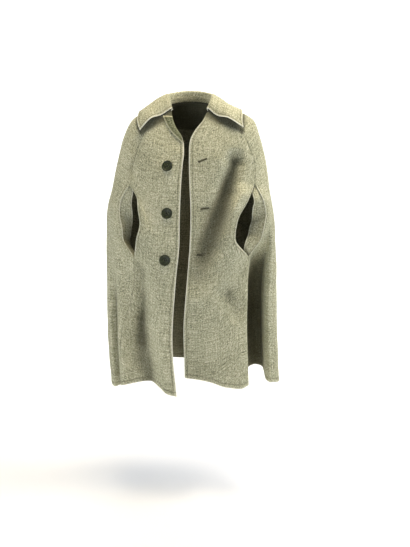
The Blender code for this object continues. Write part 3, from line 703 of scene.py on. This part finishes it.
# Each panel by name: where it starts and ends, as a column of CUTS or in degrees of turn, the
# slit's pull on it, its columns of points, its borders, which share of a row its warp follows,
# and its flat width, length and area.
PANEL_COLUMNS = ("start", "end", "side", "columns", "borders", "grain", "cut")
PANELS = {
    "front_right": ("right_edge", "right_seam", ("front", "right"), 62, ("edge", "slit"), 0.0,
                    (0.250, 1.030, 0.166)),
    "front_left": ("left_seam", "left_edge", ("front", "left"), 84, ("slit", "edge"), 1.0,
                   (0.310, 1.060, 0.222)),
    "side_right": ("right_seam", SIDE_TURN, ("side", "right"), 62, ("slit", "seam"), 0.5,
                   (0.190, 1.110, 0.160)),
    "side_left": (360 - SIDE_TURN, "left_seam", ("side", "left"), 96, ("seam", "slit"), 0.0,
                  (0.430, 1.110, 0.253)),
    "back": (SIDE_TURN, 360 - SIDE_TURN, None, 122, ("seam", "seam"), 0.5, (0.870, 1.110, 0.747)),
}
PANELS = {name: dict(zip(PANEL_COLUMNS, row)) for name, row in PANELS.items()}
# The turned edges grow in over these levels at the neck, and over this share of a slit at its
# ends. A slit's edge is turned under less than a front's.
NECK_FADE = 0.03
SLIT_ENDS = 0.06
SLIT_TURNED = 0.8
# A seam's panels are drawn in over this many columns, away from a column this far in.
DRAWN_COLUMNS = 4
DRAWN_TOWARDS = 12


def draw_in(grid, border, other):
    """Move a seam's column in, so that the two panels of the seam don't touch."""
    along = grid[:, other] - grid[:, border]
    along = along / np.linalg.norm(along, axis=-1, keepdims=True)
    for keep in range(DRAWN_COLUMNS):
        at = border + keep if border == 0 else border - keep
        grid[:, at] += along * SEAM_GAP / 2 * (1 - keep / DRAWN_COLUMNS)


cloth = {}
for name, panel in PANELS.items():
    grid, turn, level = panel_grid(panel)
    finish = {"bottom": (1.0, 0.0, HEM_STITCH_IN)}
    for border, kind, at, other in zip(("first", "last"), panel["borders"], (0, -1),
                                       (DRAWN_TOWARDS, -DRAWN_TOWARDS)):
        if kind == "edge":
            finish[border] = (ease(level / NECK_FADE), 0.0, STITCH_IN)
        else:
            slit = slit_share(level) if kind == "slit" else 0 * level
            finish[border] = (slit * SLIT_TURNED, 1 - slit, STITCH_IN * SLIT_TURNED)
            draw_in(grid, at, other)
    # The troughs of the deep folds across the rings are painted darker, as shade.
    piece = cloth_shell(name + "_cloth", grid, finish, TWEED, panel["grain"], fold_in=HEM_FOLD_IN,
                        deep=trough_shade_mask(grid, turn))
    panel["turn"] = turn
    panel["level"] = level
    cloth[name] = piece
    dress(piece, name)

# Collar: two layers of the same tweed, a low stand rolled over into a pointed leaf, sewn round
# the neckline and topstitched 8 mm in from its edge.
COLLAR_COLUMNS = ("turn", "stand_mm", "lean_mm", "edge_turn", "edge_level", "mid_lift_mm", "edge_lift_mm")
COLLAR = (
    (56, 6, 3, 52, 0.124, 20, 12),
    (65, 15, 6, 64, 0.114, 18, 9),
    (84, 28, 10, 84, 0.098, 15, 7),
    (110, 33, 12, 112, 0.096, 16, 6),
    (180, 34, 13, 180, 0.098, 17, 6),
    (250, 33, 12, 248, 0.094, 16, 6),
    (276, 25, 7, 276, 0.090, 13, 7),
    (302, 15, 6, 301, 0.103, 18, 9),
    (317, 6, 3, 309, 0.117, 21, 13),
)
COLLAR_STITCH_IN = 0.008
# The cloth under the leaf is painted darker as the leaf's shadow, which fades out past the lower
# edge, in levels, and past the leading edges, in degrees of turn at the neck and at the point.
LEAF_SHADE_DOWN = 0.010
LEAF_SHADE_AHEAD = (15.0, 4.0)
LEAF_SHADE_FULL = 1.6
COLLAR_DRAPE = 0.0008
FOOT_LIFT = 0.0012
# Where the foot, mid stand, roll and the leaf's three sections lie along a control line, the
# length of a section and of a control line's unit, and how many rows and columns the grid has.
CONTROL_AT = np.array([0.0, 1.0, 2.0, 2.7, 4.2, 5.6])
SECTIONS_PER_M = 14
CONTROLS_PER_M = 45
COLLAR_ROWS = 190
COLLAR_ACROSS = 52


def collar_grid():
    """Foot, stand, roll and leaf, section by section round the neckline, with the leaf's upper
    side as the outer face."""
    row = columns(COLLAR_COLUMNS, COLLAR)
    ends = len(COLLAR) - 1
    near = edge_steps(COLLAR_STITCH_IN) * SECTIONS_PER_M
    between = np.linspace(near[-1], ends - near[-1], COLLAR_ROWS)[1:-1]
    place = np.concatenate([near, between, ends - near[::-1]])
    value = {name: smooth(np.arange(ends + 1), column, place) for name, column in row.items()}
    turn = value["turn"]
    base = cape(turn, 0.0)
    away = base - np.array([MIDDLE_X, 0.0, 0.0])
    away[..., 2] = 0
    away = away / np.linalg.norm(away, axis=-1, keepdims=True)
    up = np.array([0.0, 0.0, 1.0])
    stand = value["stand"][:, None]
    lean = value["lean"][:, None]
    foot = base + up * FOOT_LIFT
    mid = foot + up * stand * 0.6 + away * lean * 0.15
    roll = foot + up * stand + away * lean * 0.75
    leaf = []
    for share, lift in ((0.2, value["stand"] * 0.9), (0.6, value["mid_lift"]), (1.0, value["edge_lift"])):
        t = turn + (value["edge_turn"] - turn) * (share * 0.85 + 0.15)
        v = value["edge_level"] * (share * 0.88 + 0.12)
        leaf.append(cape(t, v) + cape_out(t, v) * lift[:, None])
    control = np.stack([foot, mid, roll, *leaf], axis=1)
    edge = CONTROL_AT[-1] - edge_steps(COLLAR_STITCH_IN)[::-1] * CONTROLS_PER_M
    where = np.concatenate([np.linspace(0, edge[0], COLLAR_ACROSS)[:-1], edge])
    grid = np.empty((len(place), len(where), 3))
    for i in range(len(place)):
        for axis in range(3):
            values = control[i, :, axis]
            slope = np.gradient(values, CONTROL_AT)
            grid[i, :, axis] = hermite(CONTROL_AT, values, slope, where)
    grid = grid[::-1]
    return grid + facing_out(grid) * TURNED_THICK


def leaf_shadow_mask(turn, level):
    """How much painted shadow of the collar's leaf the cloth takes: 1 under the leaf, fading just past its
    edges.
    """
    row = columns(COLLAR_COLUMNS, COLLAR)
    edge = smooth(row["edge_turn"], row["edge_level"], turn)
    share = np.clip(level / edge, 0, 1)
    first = row["turn"][0] + (row["edge_turn"][0] - row["turn"][0]) * share
    last = row["turn"][-1] + (row["edge_turn"][-1] - row["turn"][-1]) * share
    ahead = LEAF_SHADE_AHEAD[0] + (LEAF_SHADE_AHEAD[1] - LEAF_SHADE_AHEAD[0]) * share
    beside = np.minimum(turn - first, last - turn) / ahead + LEAF_SHADE_FULL
    return ease(beside) * ease((edge - level) / LEAF_SHADE_DOWN + LEAF_SHADE_FULL)


# The cloth under the collar's leaf and just ahead of its edges is painted darker, as the leaf's shadow.
for name, panel in PANELS.items():
    shade = cloth[name].data.attributes["painted_shade"].data
    value = np.empty(len(shade))
    shade.foreach_get("value", value)
    under = leaf_shadow_mask(panel["turn"], panel["level"][:, None]).ravel()
    shade.foreach_set("value", np.maximum(value, np.concatenate([under, under])))

collar_finish = {border: (1.0, 0.0, COLLAR_STITCH_IN) for border in ("top", "bottom", "last")}
collar = cloth_shell("collar_cloth", collar_grid(), collar_finish, TWEED, 0.0, COLLAR_DRAPE)
dress(collar, "collar")

# Turned-out corner: the top of the right front folds back and shows its facing, drawn as the same
# tweed in darker, greener shades. It rolls over the front edge and lies on the cloth.
LAPEL_TOP = 0.004
LAPEL_BOTTOM = 0.075
LAPEL_TURN = 7.0
LAPEL_DROP = 0.034
LAPEL_ROLL = 0.0030
LAY_GAP = 0.0008

# The same tweed in darker, greener shades, with its rim colour and the colour of its painted shade.
FACING = tweed("wool_facing_woven",
               ((0.44, "#3A3D2B"), (0.58, "#5C6047"), (0.68, "#72765A"), (0.84, "#9A9B7C")),
               "#C9C6A4", "#2B2D1E")


def lapel_grid():
    level = np.linspace(LAPEL_TOP, LAPEL_BOTTOM, 46)[:, None]
    share = (1 - (level - LAPEL_TOP) / (LAPEL_BOTTOM - LAPEL_TOP)) ** 0.8
    reach = np.concatenate([[0, 0.01, 0.025, 0.05], np.linspace(0.09, 0.91, 26), [0.95, 0.975, 0.99, 1]])
    side = ("front", "right")
    turn = turn_at("right_edge", level) + 0.2 + reach * (LAPEL_TURN * share + 0.5)
    low = level + reach * (LAPEL_DROP * share + 0.001)
    lift = LAY_GAP + CLOTH_THICK + LAPEL_ROLL * np.sin(np.pi * reach * 0.75)
    return cape(turn, low, side) + cape_out(turn, low, side) * np.broadcast_to(lift, turn.shape)[..., None]


lapel_finish = {"first": (0.5, 0.0, STITCH_IN), "last": (1.0, 0.0, STITCH_IN * 0.7),
                "top": (1.0, 0.0, STITCH_IN)}
lapel = cloth_shell("corner_facing_cloth", lapel_grid(), lapel_finish, FACING, 0.0, 0.0)
dress(lapel, "front_corner_facing_right")

# Arm welts: a doubled band of tweed under the back edge of each slit, 48 mm wide, running
# inwards behind the opening, with two rows of topstitching along its free edge.
WELT_WIDTH = 0.048
WELT_GAP = {"right": 0.0007, "left": 0.0012}
# How far the welt is turned inwards on its way down the slit, in degrees.
WELT_TURN_COLUMNS = ("part", "right", "left")
WELT_TURN = (
    (0.00, 0, 0),
    (0.20, 5, 6),
    (0.42, 50, 42),
    (0.62, 76, 54),
    (1.00, 80, 60),
)
WELT_STITCH_IN = 0.006
# How far the welt sinks inwards on its way from the seam, as shares of its width.
WELT_SINK = ((0.0, 0.2, 0.4, 0.7, 1.0), (0.0, 0.012, 0.03, 0.08, 0.16))
WELT_POINT = 0.38


def welt_grid(half):
    level = np.linspace(SLIT_TOP, SLIT_BOTTOM, 84)[:, None]
    seam = turn_at(half + "_seam", level)
    side = ("side", half)
    towards_front = -1 if half == "right" else 1
    root_turn = seam - towards_front * 1.0
    outward = cape_out(root_turn, level, side)
    root = cape(root_turn, level, side)
    ahead = cape(seam, level, side) - cape(seam - towards_front * 2, level, side)
    ahead = ahead / np.linalg.norm(ahead, axis=-1, keepdims=True)
    part = (level - SLIT_TOP) / (SLIT_BOTTOM - SLIT_TOP)
    width = WELT_WIDTH * np.sin(np.pi * np.clip(part, 0.03, 0.97)) ** WELT_POINT
    free = 1 - edge_steps(WELT_STITCH_IN)[::-1] / WELT_WIDTH
    reach = np.concatenate([np.linspace(0, free[0], 22)[:-1], free])
    turned_in = smooth(*WELT_SINK, reach)
    below = root - outward * (CLOTH_THICK + WELT_GAP[half])
    step = reach[None, :, None] * width[:, :, None]
    bend = columns(WELT_TURN_COLUMNS, WELT_TURN)
    bend = np.radians(smooth(bend["part"], bend[half], part))[..., None]
    sink = turned_in[None, :, None] * width[:, :, None]
    grid = below + (ahead * np.cos(bend) - outward * np.sin(bend)) * step - outward * sink
    return grid if half == "left" else grid[:, ::-1]


for half in ("right", "left"):
    name = "arm_welt_" + half
    free = "last" if half == "left" else "first"
    welt_finish = {free: (0.8, 0.0, WELT_STITCH_IN)}
    welt = cloth_shell(name + "_cloth", welt_grid(half), welt_finish, TWEED, 0.5, 0.0)
    dress(welt, name)

# Buttonholes: three keyholes cut in the left front, with their round eye nearest the front
# edge, and worked all round in close dark stitches.
BUTTONHOLES = ((-0.196, 0.046, 22), (-0.357, 0.049, 3), (-0.516, 0.041, 5))
BUTTONHOLE_LENGTH = 0.030
BUTTONHOLE_HALF = 0.0016
BUTTONHOLE_EYE = 0.0024
WORKED_OUT = 0.0011
WORKED_PITCH = 0.0011
WORKED_SIZE = (0.0026, 0.0010, 0.0009)
CUTTER_REACH = 0.010
THREAD_LIFT = 0.0001


def sewing_thread(name, shade):
    """Twisted cotton-covered thread: a dull shade with slightly paler strands."""
    paint, tree, shader = new_material(name, 0.75, 1.45)
    place = add(tree, "ShaderNodeTexCoord").outputs["Object"]
    strands = add(tree, "ShaderNodeTexNoise", {"Vector": place, "Scale": 900.0, "Detail": 1.0})
    light = add(tree, "ShaderNodeMix", {"Factor": strands.outputs["Fac"], "A": srgb(shade[0]),
                                        "B": srgb(shade[1])}, data_type="RGBA")
    tree.links.new(light.outputs["Result"], shader.inputs["Base Color"])
    return paint


def stitch_tree():
    """Geometry nodes that lay a spindle-shaped stitch at even steps along a path, turned to the
    path and to the cloth's outward direction."""
    tree = bpy.data.node_groups.new("stitches_along_path", "GeometryNodeTree")
    for kind, name in (("Geometry", "Path"), ("Float", "Pitch"), ("Vector", "Size"),
                       ("Rotation", "Turn"), ("Material", "Thread")):
        tree.interface.new_socket(name, in_out="INPUT", socket_type="NodeSocket" + kind)
    tree.interface.new_socket("Stitches", in_out="OUTPUT", socket_type="NodeSocketGeometry")
    given = add(tree, "NodeGroupInput").outputs
    curve = add(tree, "GeometryNodeMeshToCurve", {"Mesh": given["Path"]}).outputs["Curve"]
    even = add(tree, "GeometryNodeResampleCurve", {"Curve": curve, "Length": given["Pitch"]}, mode="LENGTH")
    out = add(tree, "GeometryNodeInputNamedAttribute", {"Name": "out"}, data_type="FLOAT_VECTOR")
    tangent = add(tree, "GeometryNodeInputTangent").outputs["Tangent"]
    facing = add(tree, "FunctionNodeAlignRotationToVector", {"Vector": out.outputs["Attribute"]}, axis="Z")
    along = add(tree, "FunctionNodeAlignRotationToVector",
                {"Rotation": facing.outputs["Rotation"], "Vector": tangent}, axis="X", pivot_axis="Z")
    turned = add(tree, "FunctionNodeRotateRotation",
                 {"Rotation": along.outputs["Rotation"], "Rotate By": given["Turn"]}, rotation_space="LOCAL")
    vary = add(tree, "FunctionNodeRandomValue", {"Min": 0.88, "Max": 1.08, "Seed": 5}, data_type="FLOAT")
    size = add(tree, "ShaderNodeVectorMath", {0: given["Size"], "Scale": vary.outputs["Value"]},
               operation="SCALE")
    spindle = add(tree, "GeometryNodeMeshIcoSphere", {"Radius": 0.5, "Subdivisions": 1})
    laid = add(tree, "GeometryNodeInstanceOnPoints",
               {"Points": even.outputs["Curve"], "Instance": spindle.outputs["Mesh"],
                "Rotation": turned.outputs["Rotation"], "Scale": size.outputs["Vector"]})
    plain = add(tree, "GeometryNodeRealizeInstances", {"Geometry": laid.outputs["Instances"]})
    dyed = add(tree, "GeometryNodeSetMaterial", {"Geometry": plain.outputs["Geometry"],
                                                 "Material": given["Thread"]})
    add(tree, "NodeGroupOutput", {"Stitches": dyed.outputs["Geometry"]})
    return tree


STITCHES = stitch_tree()


def cut_away(body, cutter):
    opening = body.modifiers.new("cut", "BOOLEAN")
    opening.operation = "DIFFERENCE"
    opening.solver = "EXACT"
    opening.object = cutter


def settle(body):
    """Put the object's evaluated mesh in place of its own, and drop the modifiers."""
    plain = bpy.data.meshes.new_from_object(body.evaluated_get(bpy.context.evaluated_depsgraph_get()))
    body.modifiers.clear()
    body.data = plain


def lay_stitches(name, paths, pitch, size, turn, thread):
    """Sew along each path of points with their outward directions, as one piece."""
    points = np.concatenate([line for line, out in paths])
    outs = np.concatenate([out for line, out in paths])
    edges = []
    first = 0
    for line, out in paths:
        edges += [(i, i + 1) for i in range(first, first + len(line) - 1)]
        first += len(line)
    mesh = mesh_of(name, points.tolist(), [], edges)
    mesh.attributes.new("out", "FLOAT_VECTOR", "POINT").data.foreach_set("vector", outs.ravel())
    body = in_scene(name, mesh)
    sewing = body.modifiers.new("sewing", "NODES")
    sewing.node_group = STITCHES
    given = {"Pitch": pitch, "Size": size, "Turn": (0.0, 0.0, np.radians(turn)), "Thread": thread}
    for socket in STITCHES.interface.items_tree:
        if socket.name in given:
            sewing[socket.identifier] = given[socket.name]
    settle(body)
    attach(body, "root")
    return body


def on_front(name, edge, height, inset):
    """A place on a front at a height and a distance in from its edge, and its outward direction."""
    outer, out, _ = surface[name]
    edge_x = np.interp(-height, -outer[:, edge, 2], outer[:, edge, 0])
    miss = (outer[..., 2] - height) ** 2 + (np.abs(outer[..., 0] - edge_x) - inset) ** 2
    at = np.unravel_index(miss.argmin(), miss.shape)
    return Vector(outer[at]), Vector(out[at])


def facing_matrix(point, outward, turn_by):
    """A frame with Z outward and X level across the cloth, turned by some degrees."""
    across_it = (Vector((1, 0, 0)) - outward * outward.x).normalized()
    axes = Matrix((across_it, outward.cross(across_it), outward)).transposed().to_4x4()
    return Matrix.Translation(point) @ axes @ Matrix.Rotation(np.radians(turn_by), 4, "Z")


def keyhole(grown):
    """The outline of a buttonhole, counter-clockwise: its eye, its lower side, end and upper side."""
    half = BUTTONHOLE_HALF + grown
    eye = BUTTONHOLE_EYE + grown
    eye_x = -BUTTONHOLE_LENGTH / 2 + BUTTONHOLE_EYE
    end_x = BUTTONHOLE_LENGTH / 2 - BUTTONHOLE_HALF
    mouth = np.arcsin(half / eye)
    turn = np.linspace(mouth, 2 * np.pi - mouth, 20)
    round_eye = np.stack([eye_x + eye * np.cos(turn), eye * np.sin(turn)], axis=1)
    side_x = np.linspace(round_eye[0, 0], end_x, 14)[1:-1]
    turn = np.linspace(-np.pi / 2, np.pi / 2, 9)
    end = np.stack([end_x + half * np.cos(turn), half * np.sin(turn)], axis=1)
    lower = np.stack([side_x, 0 * side_x - half], axis=1)
    upper = np.stack([side_x[::-1], 0 * side_x + half], axis=1)
    return np.concatenate([round_eye, lower, end, upper])


def keyhole_cutter(name, place):
    outline = keyhole(0.0)
    count = len(outline)
    points = [place @ Vector((x, y, z)) for z in (-CUTTER_REACH, CUTTER_REACH) for x, y in outline]
    faces = [tuple(range(count))[::-1], tuple(range(count, 2 * count))]
    faces += [(i, (i + 1) % count, count + (i + 1) % count, count + i) for i in range(count)]
    return in_scene(name, mesh_of(name, points, faces))


left_front = cloth["front_left"]
whole = BVHTree.FromPolygons([v.co for v in left_front.data.vertices],
                             [p.vertices for p in left_front.data.polygons])
cutters = []
worked = []
for number, (height, inset, rise) in enumerate(BUTTONHOLES, 1):
    point, outward = on_front("front_left_cloth", -1, height, inset)
    place = facing_matrix(point, outward, rise)
    cutters.append(keyhole_cutter("buttonhole_%d" % number, place))
    cut_away(left_front, cutters[-1])
    around = keyhole(WORKED_OUT)
    line = [whole.ray_cast(place @ Vector((x, y, CUTTER_REACH)), -outward)[0]
            for x, y in np.concatenate([around, around[:1]])]
    worked.append((np.array([p + outward * THREAD_LIFT for p in line]), np.array([outward] * len(line))))
settle(left_front)
for cutter in cutters:
    bpy.data.objects.remove(cutter)
DARK_THREAD = sewing_thread("buttonhole_twist_dark", ("#1E1F15", "#34341F"))
lay_stitches("buttonhole_stitches", worked, WORKED_PITCH, WORKED_SIZE, 90, DARK_THREAD)

# Topstitching: a single row of long stitches in a thread a little darker than the cloth. It
# runs beside the front edges, the hem, the slits, the collar and the turned-out corner, and
# in two rows on each welt.
STITCH_PITCH = 0.0044
STITCH_SIZE = (0.0034, 0.0011, 0.0009)
WELT_ROWS = (0.006, 0.015)
THREAD = sewing_thread("topstitching_thread_olive", ("#4F4F36", "#6B6A4C"))


def stitch_line(name, border, inset, trim=(0.0, 0.0), rows=None):
    """Points just above the cloth, some way in from a border, less a stretch at each end."""
    outer, out, gaps = surface[name]
    grids = [outer, out, gaps[border]]
    if border in ("top", "bottom"):
        grids = [grid.swapaxes(0, 1) for grid in grids]
    if border in ("bottom", "last"):
        grids = [grid[:, ::-1] for grid in grids]
    outer, out, gap = grids
    line = np.array([[np.interp(inset, g, p[:, k]) for k in range(3)] for g, p in zip(gap, outer)])
    away = np.array([[np.interp(inset, g, p[:, k]) for k in range(3)] for g, p in zip(gap, out)])
    length = np.concatenate([[0.0], np.cumsum(np.linalg.norm(np.diff(line, axis=0), axis=1))])
    keep = (length >= trim[0]) & (length <= length[-1] - trim[1])
    if rows is not None:
        keep = keep & rows
    return line[keep] + away[keep] * THREAD_LIFT, away[keep]


rows = []
for name, panel in PANELS.items():
    own = name + "_cloth"
    ends = [STITCH_IN if kind == "edge" else SEAM_GAP for kind in panel["borders"]]
    rows.append(stitch_line(own, "bottom", HEM_STITCH_IN, ends))
    for border, kind in zip(("first", "last"), panel["borders"]):
        if kind == "edge":
            rows.append(stitch_line(own, border, STITCH_IN, (0.006, HEM_STITCH_IN)))
        if kind == "slit":
            along = slit_share(panel["level"]) > 0.4
            rows.append(stitch_line(own, border, STITCH_IN * SLIT_TURNED, rows=along))
for half in ("right", "left"):
    free = "last" if half == "left" else "first"
    for inset in WELT_ROWS:
        rows.append(stitch_line("arm_welt_" + half + "_cloth", free, inset, (0.006, 0.006)))
rows.append(stitch_line("collar_cloth", "last", COLLAR_STITCH_IN, (COLLAR_STITCH_IN, COLLAR_STITCH_IN)))
for border in ("top", "bottom"):
    rows.append(stitch_line("collar_cloth", border, COLLAR_STITCH_IN, (0.020, COLLAR_STITCH_IN)))
rows.append(stitch_line("corner_facing_cloth", "last", STITCH_IN * 0.7, (0.004, 0.004)))
lay_stitches("topstitching", rows, STITCH_PITCH, STITCH_SIZE, 0, THREAD)

# Buttons: three of dark green pressed plastic, 38 mm across, with a raised rim and a dished
# middle with four holes. Each hangs on a short shank of thread and droops a little.
BUTTON_WIDTH = 0.038
BUTTON_DEPTH = 0.0046
BUTTON_HOLE = 0.0026
BUTTON_HOLE_APART = 0.0052
# From the back's middle round to the dish's middle, as shares of the radius and the depth.
BUTTON_PROFILE = ((0.00, 0.02), (0.70, 0.00), (0.90, 0.10), (0.985, 0.30), (1.00, 0.50), (0.985, 0.72),
                  (0.94, 0.91), (0.89, 0.995), (0.84, 0.98), (0.78, 0.87), (0.70, 0.70), (0.60, 0.61),
                  (0.40, 0.57), (0.00, 0.56))
BUTTON_TURN = 20
THREAD_RADIUS = 0.00038
SHANK_RADIUS = 0.0017
SHANK_SUNK = 0.0008


def lathe(name, profile, radius, depth, segments):
    """Turn a profile about Z into a closed body."""
    turn = np.linspace(0, 2 * np.pi, segments, endpoint=False)
    points = [(0, 0, profile[0][1] * depth)]
    for share, rise in profile[1:-1]:
        points += [(share * radius * np.cos(a), share * radius * np.sin(a), rise * depth) for a in turn]
    points.append((0, 0, profile[-1][1] * depth))
    last = len(points) - 1
    faces = [(0, 1 + (k + 1) % segments, 1 + k) for k in range(segments)]
    for ring_at in range(len(profile) - 3):
        low = 1 + ring_at * segments
        faces += [(low + k, low + (k + 1) % segments, low + segments + (k + 1) % segments, low + segments + k)
                  for k in range(segments)]
    faces += [(last - segments + k, last - segments + (k + 1) % segments, last) for k in range(segments)]
    return mesh_of(name, points, faces)


def tube(points, radius, sides=8):
    """Points and faces of a closed tube along a path."""
    path = np.array(points, float)
    ahead = np.gradient(path, axis=0)
    ahead = ahead / np.linalg.norm(ahead, axis=1, keepdims=True)
    aside = np.cross(ahead, [0.3, 0.9, 0.1])
    aside = aside / np.linalg.norm(aside, axis=1, keepdims=True)
    turn = np.linspace(0, 2 * np.pi, sides, endpoint=False)
    spots = []
    for p, a, b in zip(path, aside, np.cross(ahead, aside)):
        spots += [p + radius * (a * np.cos(t) + b * np.sin(t)) for t in turn]
    faces = [tuple(range(sides))[::-1], tuple(range(len(spots) - sides, len(spots)))]
    for at in range(0, len(spots) - sides, sides):
        faces += [(at + k, at + (k + 1) % sides, at + sides + (k + 1) % sides, at + sides + k)
                  for k in range(sides)]
    return spots, faces


def button_material():
    """Pressed plastic, polished by wear: near-black green with a faint cloudy grain."""
    paint, tree, shader = new_material("button_plastic_pressed_polished", 0.40, 1.50)
    shader.inputs["Specular IOR Level"].default_value = 0.22
    place = add(tree, "ShaderNodeTexCoord").outputs["Object"]
    cloudy = add(tree, "ShaderNodeTexNoise", {"Vector": place, "Scale": 160.0, "Detail": 3.0})
    tint = add(tree, "ShaderNodeValToRGB", {"Fac": cloudy.outputs["Fac"]},
               ((0.35, "#22261A"), (0.55, "#343925"), (0.75, "#4C5137")))
    tree.links.new(tint.outputs["Color"], shader.inputs["Base Color"])
    return paint


BUTTON = button_material()
right_front = cloth["front_right"].data
under = BVHTree.FromPolygons([v.co for v in right_front.vertices], [p.vertices for p in right_front.polygons])
spots = []
faces = []
for number in (1, 2, 3):
    solid = bpy.data.objects["button_%d" % number]
    form = np.array([solid.matrix_world @ v.co for v in solid.data.vertices])
    middle = form.mean(axis=0)
    outward = np.linalg.svd(form - middle)[2][2]
    outward = Vector(outward if outward[1] < 0 else -outward)
    base = Vector(middle) + outward * min((Vector(p) - Vector(middle)).dot(outward) for p in form)
    place = facing_matrix(base, outward, BUTTON_TURN)
    mesh = lathe("button_%d_plastic" % number, BUTTON_PROFILE, BUTTON_WIDTH / 2, BUTTON_DEPTH, 56)
    mesh.materials.append(BUTTON)
    piece = in_scene("button_%d_plastic" % number, mesh)
    drills = []
    for x, y in ((-1, -1), (1, -1), (1, 1), (-1, 1)):
        drill = lathe("drill", ((0, -1), (1, -1), (1, 2), (0, 2)), BUTTON_HOLE / 2, BUTTON_DEPTH, 20)
        drill.transform(Matrix.Translation((x * BUTTON_HOLE_APART / 2, y * BUTTON_HOLE_APART / 2, 0)))
        drills.append(in_scene("drill", drill))
        cut_away(piece, drills[-1])
    settle(piece)
    for drill in drills:
        bpy.data.objects.remove(drill)
    piece.data.transform(place)
    piece.data.shade_smooth()
    dress(piece, solid.name)
    over = BUTTON_DEPTH * BUTTON_PROFILE[-1][1]
    away = BUTTON_HOLE_APART / 2
    strands = []
    for y in (-away, away):
        for shift in (-0.0005, 0.0005):
            strands.append(([(-away, y + shift, 0.0004), (-away * 0.93, y + shift, over * 0.8),
                             (-away * 0.6, y + shift, over + 0.0004), (0, y + shift, over + 0.0006),
                             (away * 0.6, y + shift, over + 0.0004), (away * 0.93, y + shift, over * 0.8),
                             (away, y + shift, 0.0004)], THREAD_RADIUS))
    reach = under.ray_cast(base, -outward)[3]
    strands.append(([(0, 0, 0), (0, 0, -reach / 2), (0, 0, -reach - SHANK_SUNK)], SHANK_RADIUS))
    for path, radius in strands:
        new_spots, new_faces = tube(path, radius)
        faces += [tuple(len(spots) + k for k in face) for face in new_faces]
        spots += [place @ Vector(p) for p in new_spots]
mesh = mesh_of("button_threads", spots, faces)
mesh.materials.append(DARK_THREAD)
mesh.shade_smooth()
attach(in_scene("button_threads", mesh), "root")

# Floor and backdrop, light and camera: a plain pale studio sweep, soft light from above and a
# camera at the photograph's angle.
FLOOR_Z = -1.41
SWEEP_REACH = 6.0
SWEEP_BACK = 5.2
SWEEP_BEND = 1.6
SWEEP_HEIGHT = 5.0
CAMERA_PLACE = (0.0, -2.6, -0.2)
CAMERA_DOWN = 8.746
CAMERA_LENS = 63.73
CAMERA_SHIFT = 0.0268


def sweep():
    """A floor that rises behind the cape into a backdrop, in one smooth sheet."""
    bend = SWEEP_BEND
    profile = [(-SWEEP_REACH, 0.0), (SWEEP_BACK - bend, 0.0)]
    profile += [(SWEEP_BACK - bend + bend * np.sin(a), bend - bend * np.cos(a))
                for a in np.linspace(0.1, np.pi / 2, 14)]
    profile += [(SWEEP_BACK, SWEEP_HEIGHT)]
    points = [(x, y, FLOOR_Z + z) for x in (-SWEEP_REACH, SWEEP_REACH) for y, z in profile]
    n = len(profile)
    mesh = mesh_of("floor", points, [(i, n + i, n + i + 1, i + 1) for i in range(n - 1)])
    mesh.shade_smooth()
    paint, tree, shader = new_material("studio_paper_matt", 0.9)
    grainy = add(tree, "ShaderNodeTexNoise", {"Scale": 3.0, "Detail": 2.0})
    tint = add(tree, "ShaderNodeValToRGB", {"Fac": grainy.outputs["Fac"]},
               ((0.3, "#F4F4F2"), (0.7, "#F8F8F6")))
    tree.links.new(tint.outputs["Color"], shader.inputs["Base Color"])
    mesh.materials.append(paint)
    in_scene("floor", mesh)


def area_light(name, place, aim, size, power, colour="#FFFFFF"):
    data = bpy.data.lights.new(name, "AREA")
    data.shape = "RECTANGLE"
    data.size, data.size_y = size
    data.energy = power
    data.color = srgb(colour)[:3]
    lamp = in_scene(name, data)
    lamp.location = place
    lamp.rotation_euler = (Vector(aim) - Vector(place)).to_track_quat("-Z", "Y").to_euler()


sweep()
LIGHT_AIM = (0.0, 0.0, -0.45)
LIGHT_AWAY = 3.0
LIGHT_SIZE = (1.3, 1.3)
# Each light by name: degrees round from the front, degrees up, watts and colour.
LIGHTS = (
    ("softbox_top", 0, 80, 74, "#FFF1D6"),
    ("softbox_right_high", 85, 50, 62, "#FFF6EE"),
    ("softbox_right_low", 80, 15, 36, "#DCEBFF"),
    ("softbox_left_low", -80, 15, 27, "#F6F8FF"),
    ("reflector_low", -20, -15, 46, "#E6EDFF"),
    ("hair_light", 180, 60, 24, "#F4F7FF"),
)
for name, round_by, up_by, power, colour in LIGHTS:
    flat_away = LIGHT_AWAY * np.cos(np.radians(up_by))
    place = (LIGHT_AIM[0] + flat_away * np.sin(np.radians(round_by)),
             LIGHT_AIM[1] - flat_away * np.cos(np.radians(round_by)),
             LIGHT_AIM[2] + LIGHT_AWAY * np.sin(np.radians(up_by)))
    area_light(name, place, LIGHT_AIM, LIGHT_SIZE, power, colour)
area_light("backdrop_light", (0.0, SWEEP_BACK - 2.0, 2.6), (0.0, SWEEP_BACK, 0.2), (5.0, 0.6), 230)

world = bpy.data.worlds.new("studio")
world.use_nodes = True
sky = world.node_tree.nodes["Background"].inputs
sky["Color"].default_value = srgb("#F2F4F6")
sky["Strength"].default_value = 0.04
bpy.context.scene.world = world

camera_data = bpy.data.cameras.new("camera")
camera_data.sensor_fit = "HORIZONTAL"
camera_data.sensor_width = 36
camera_data.lens = CAMERA_LENS
camera_data.shift_x = CAMERA_SHIFT
camera = in_scene("camera", camera_data)
camera.location = CAMERA_PLACE
camera.rotation_euler = (np.radians(90 - CAMERA_DOWN), 0, 0)
bpy.context.scene.camera = camera
bpy.context.scene.view_settings.view_transform = "Standard"
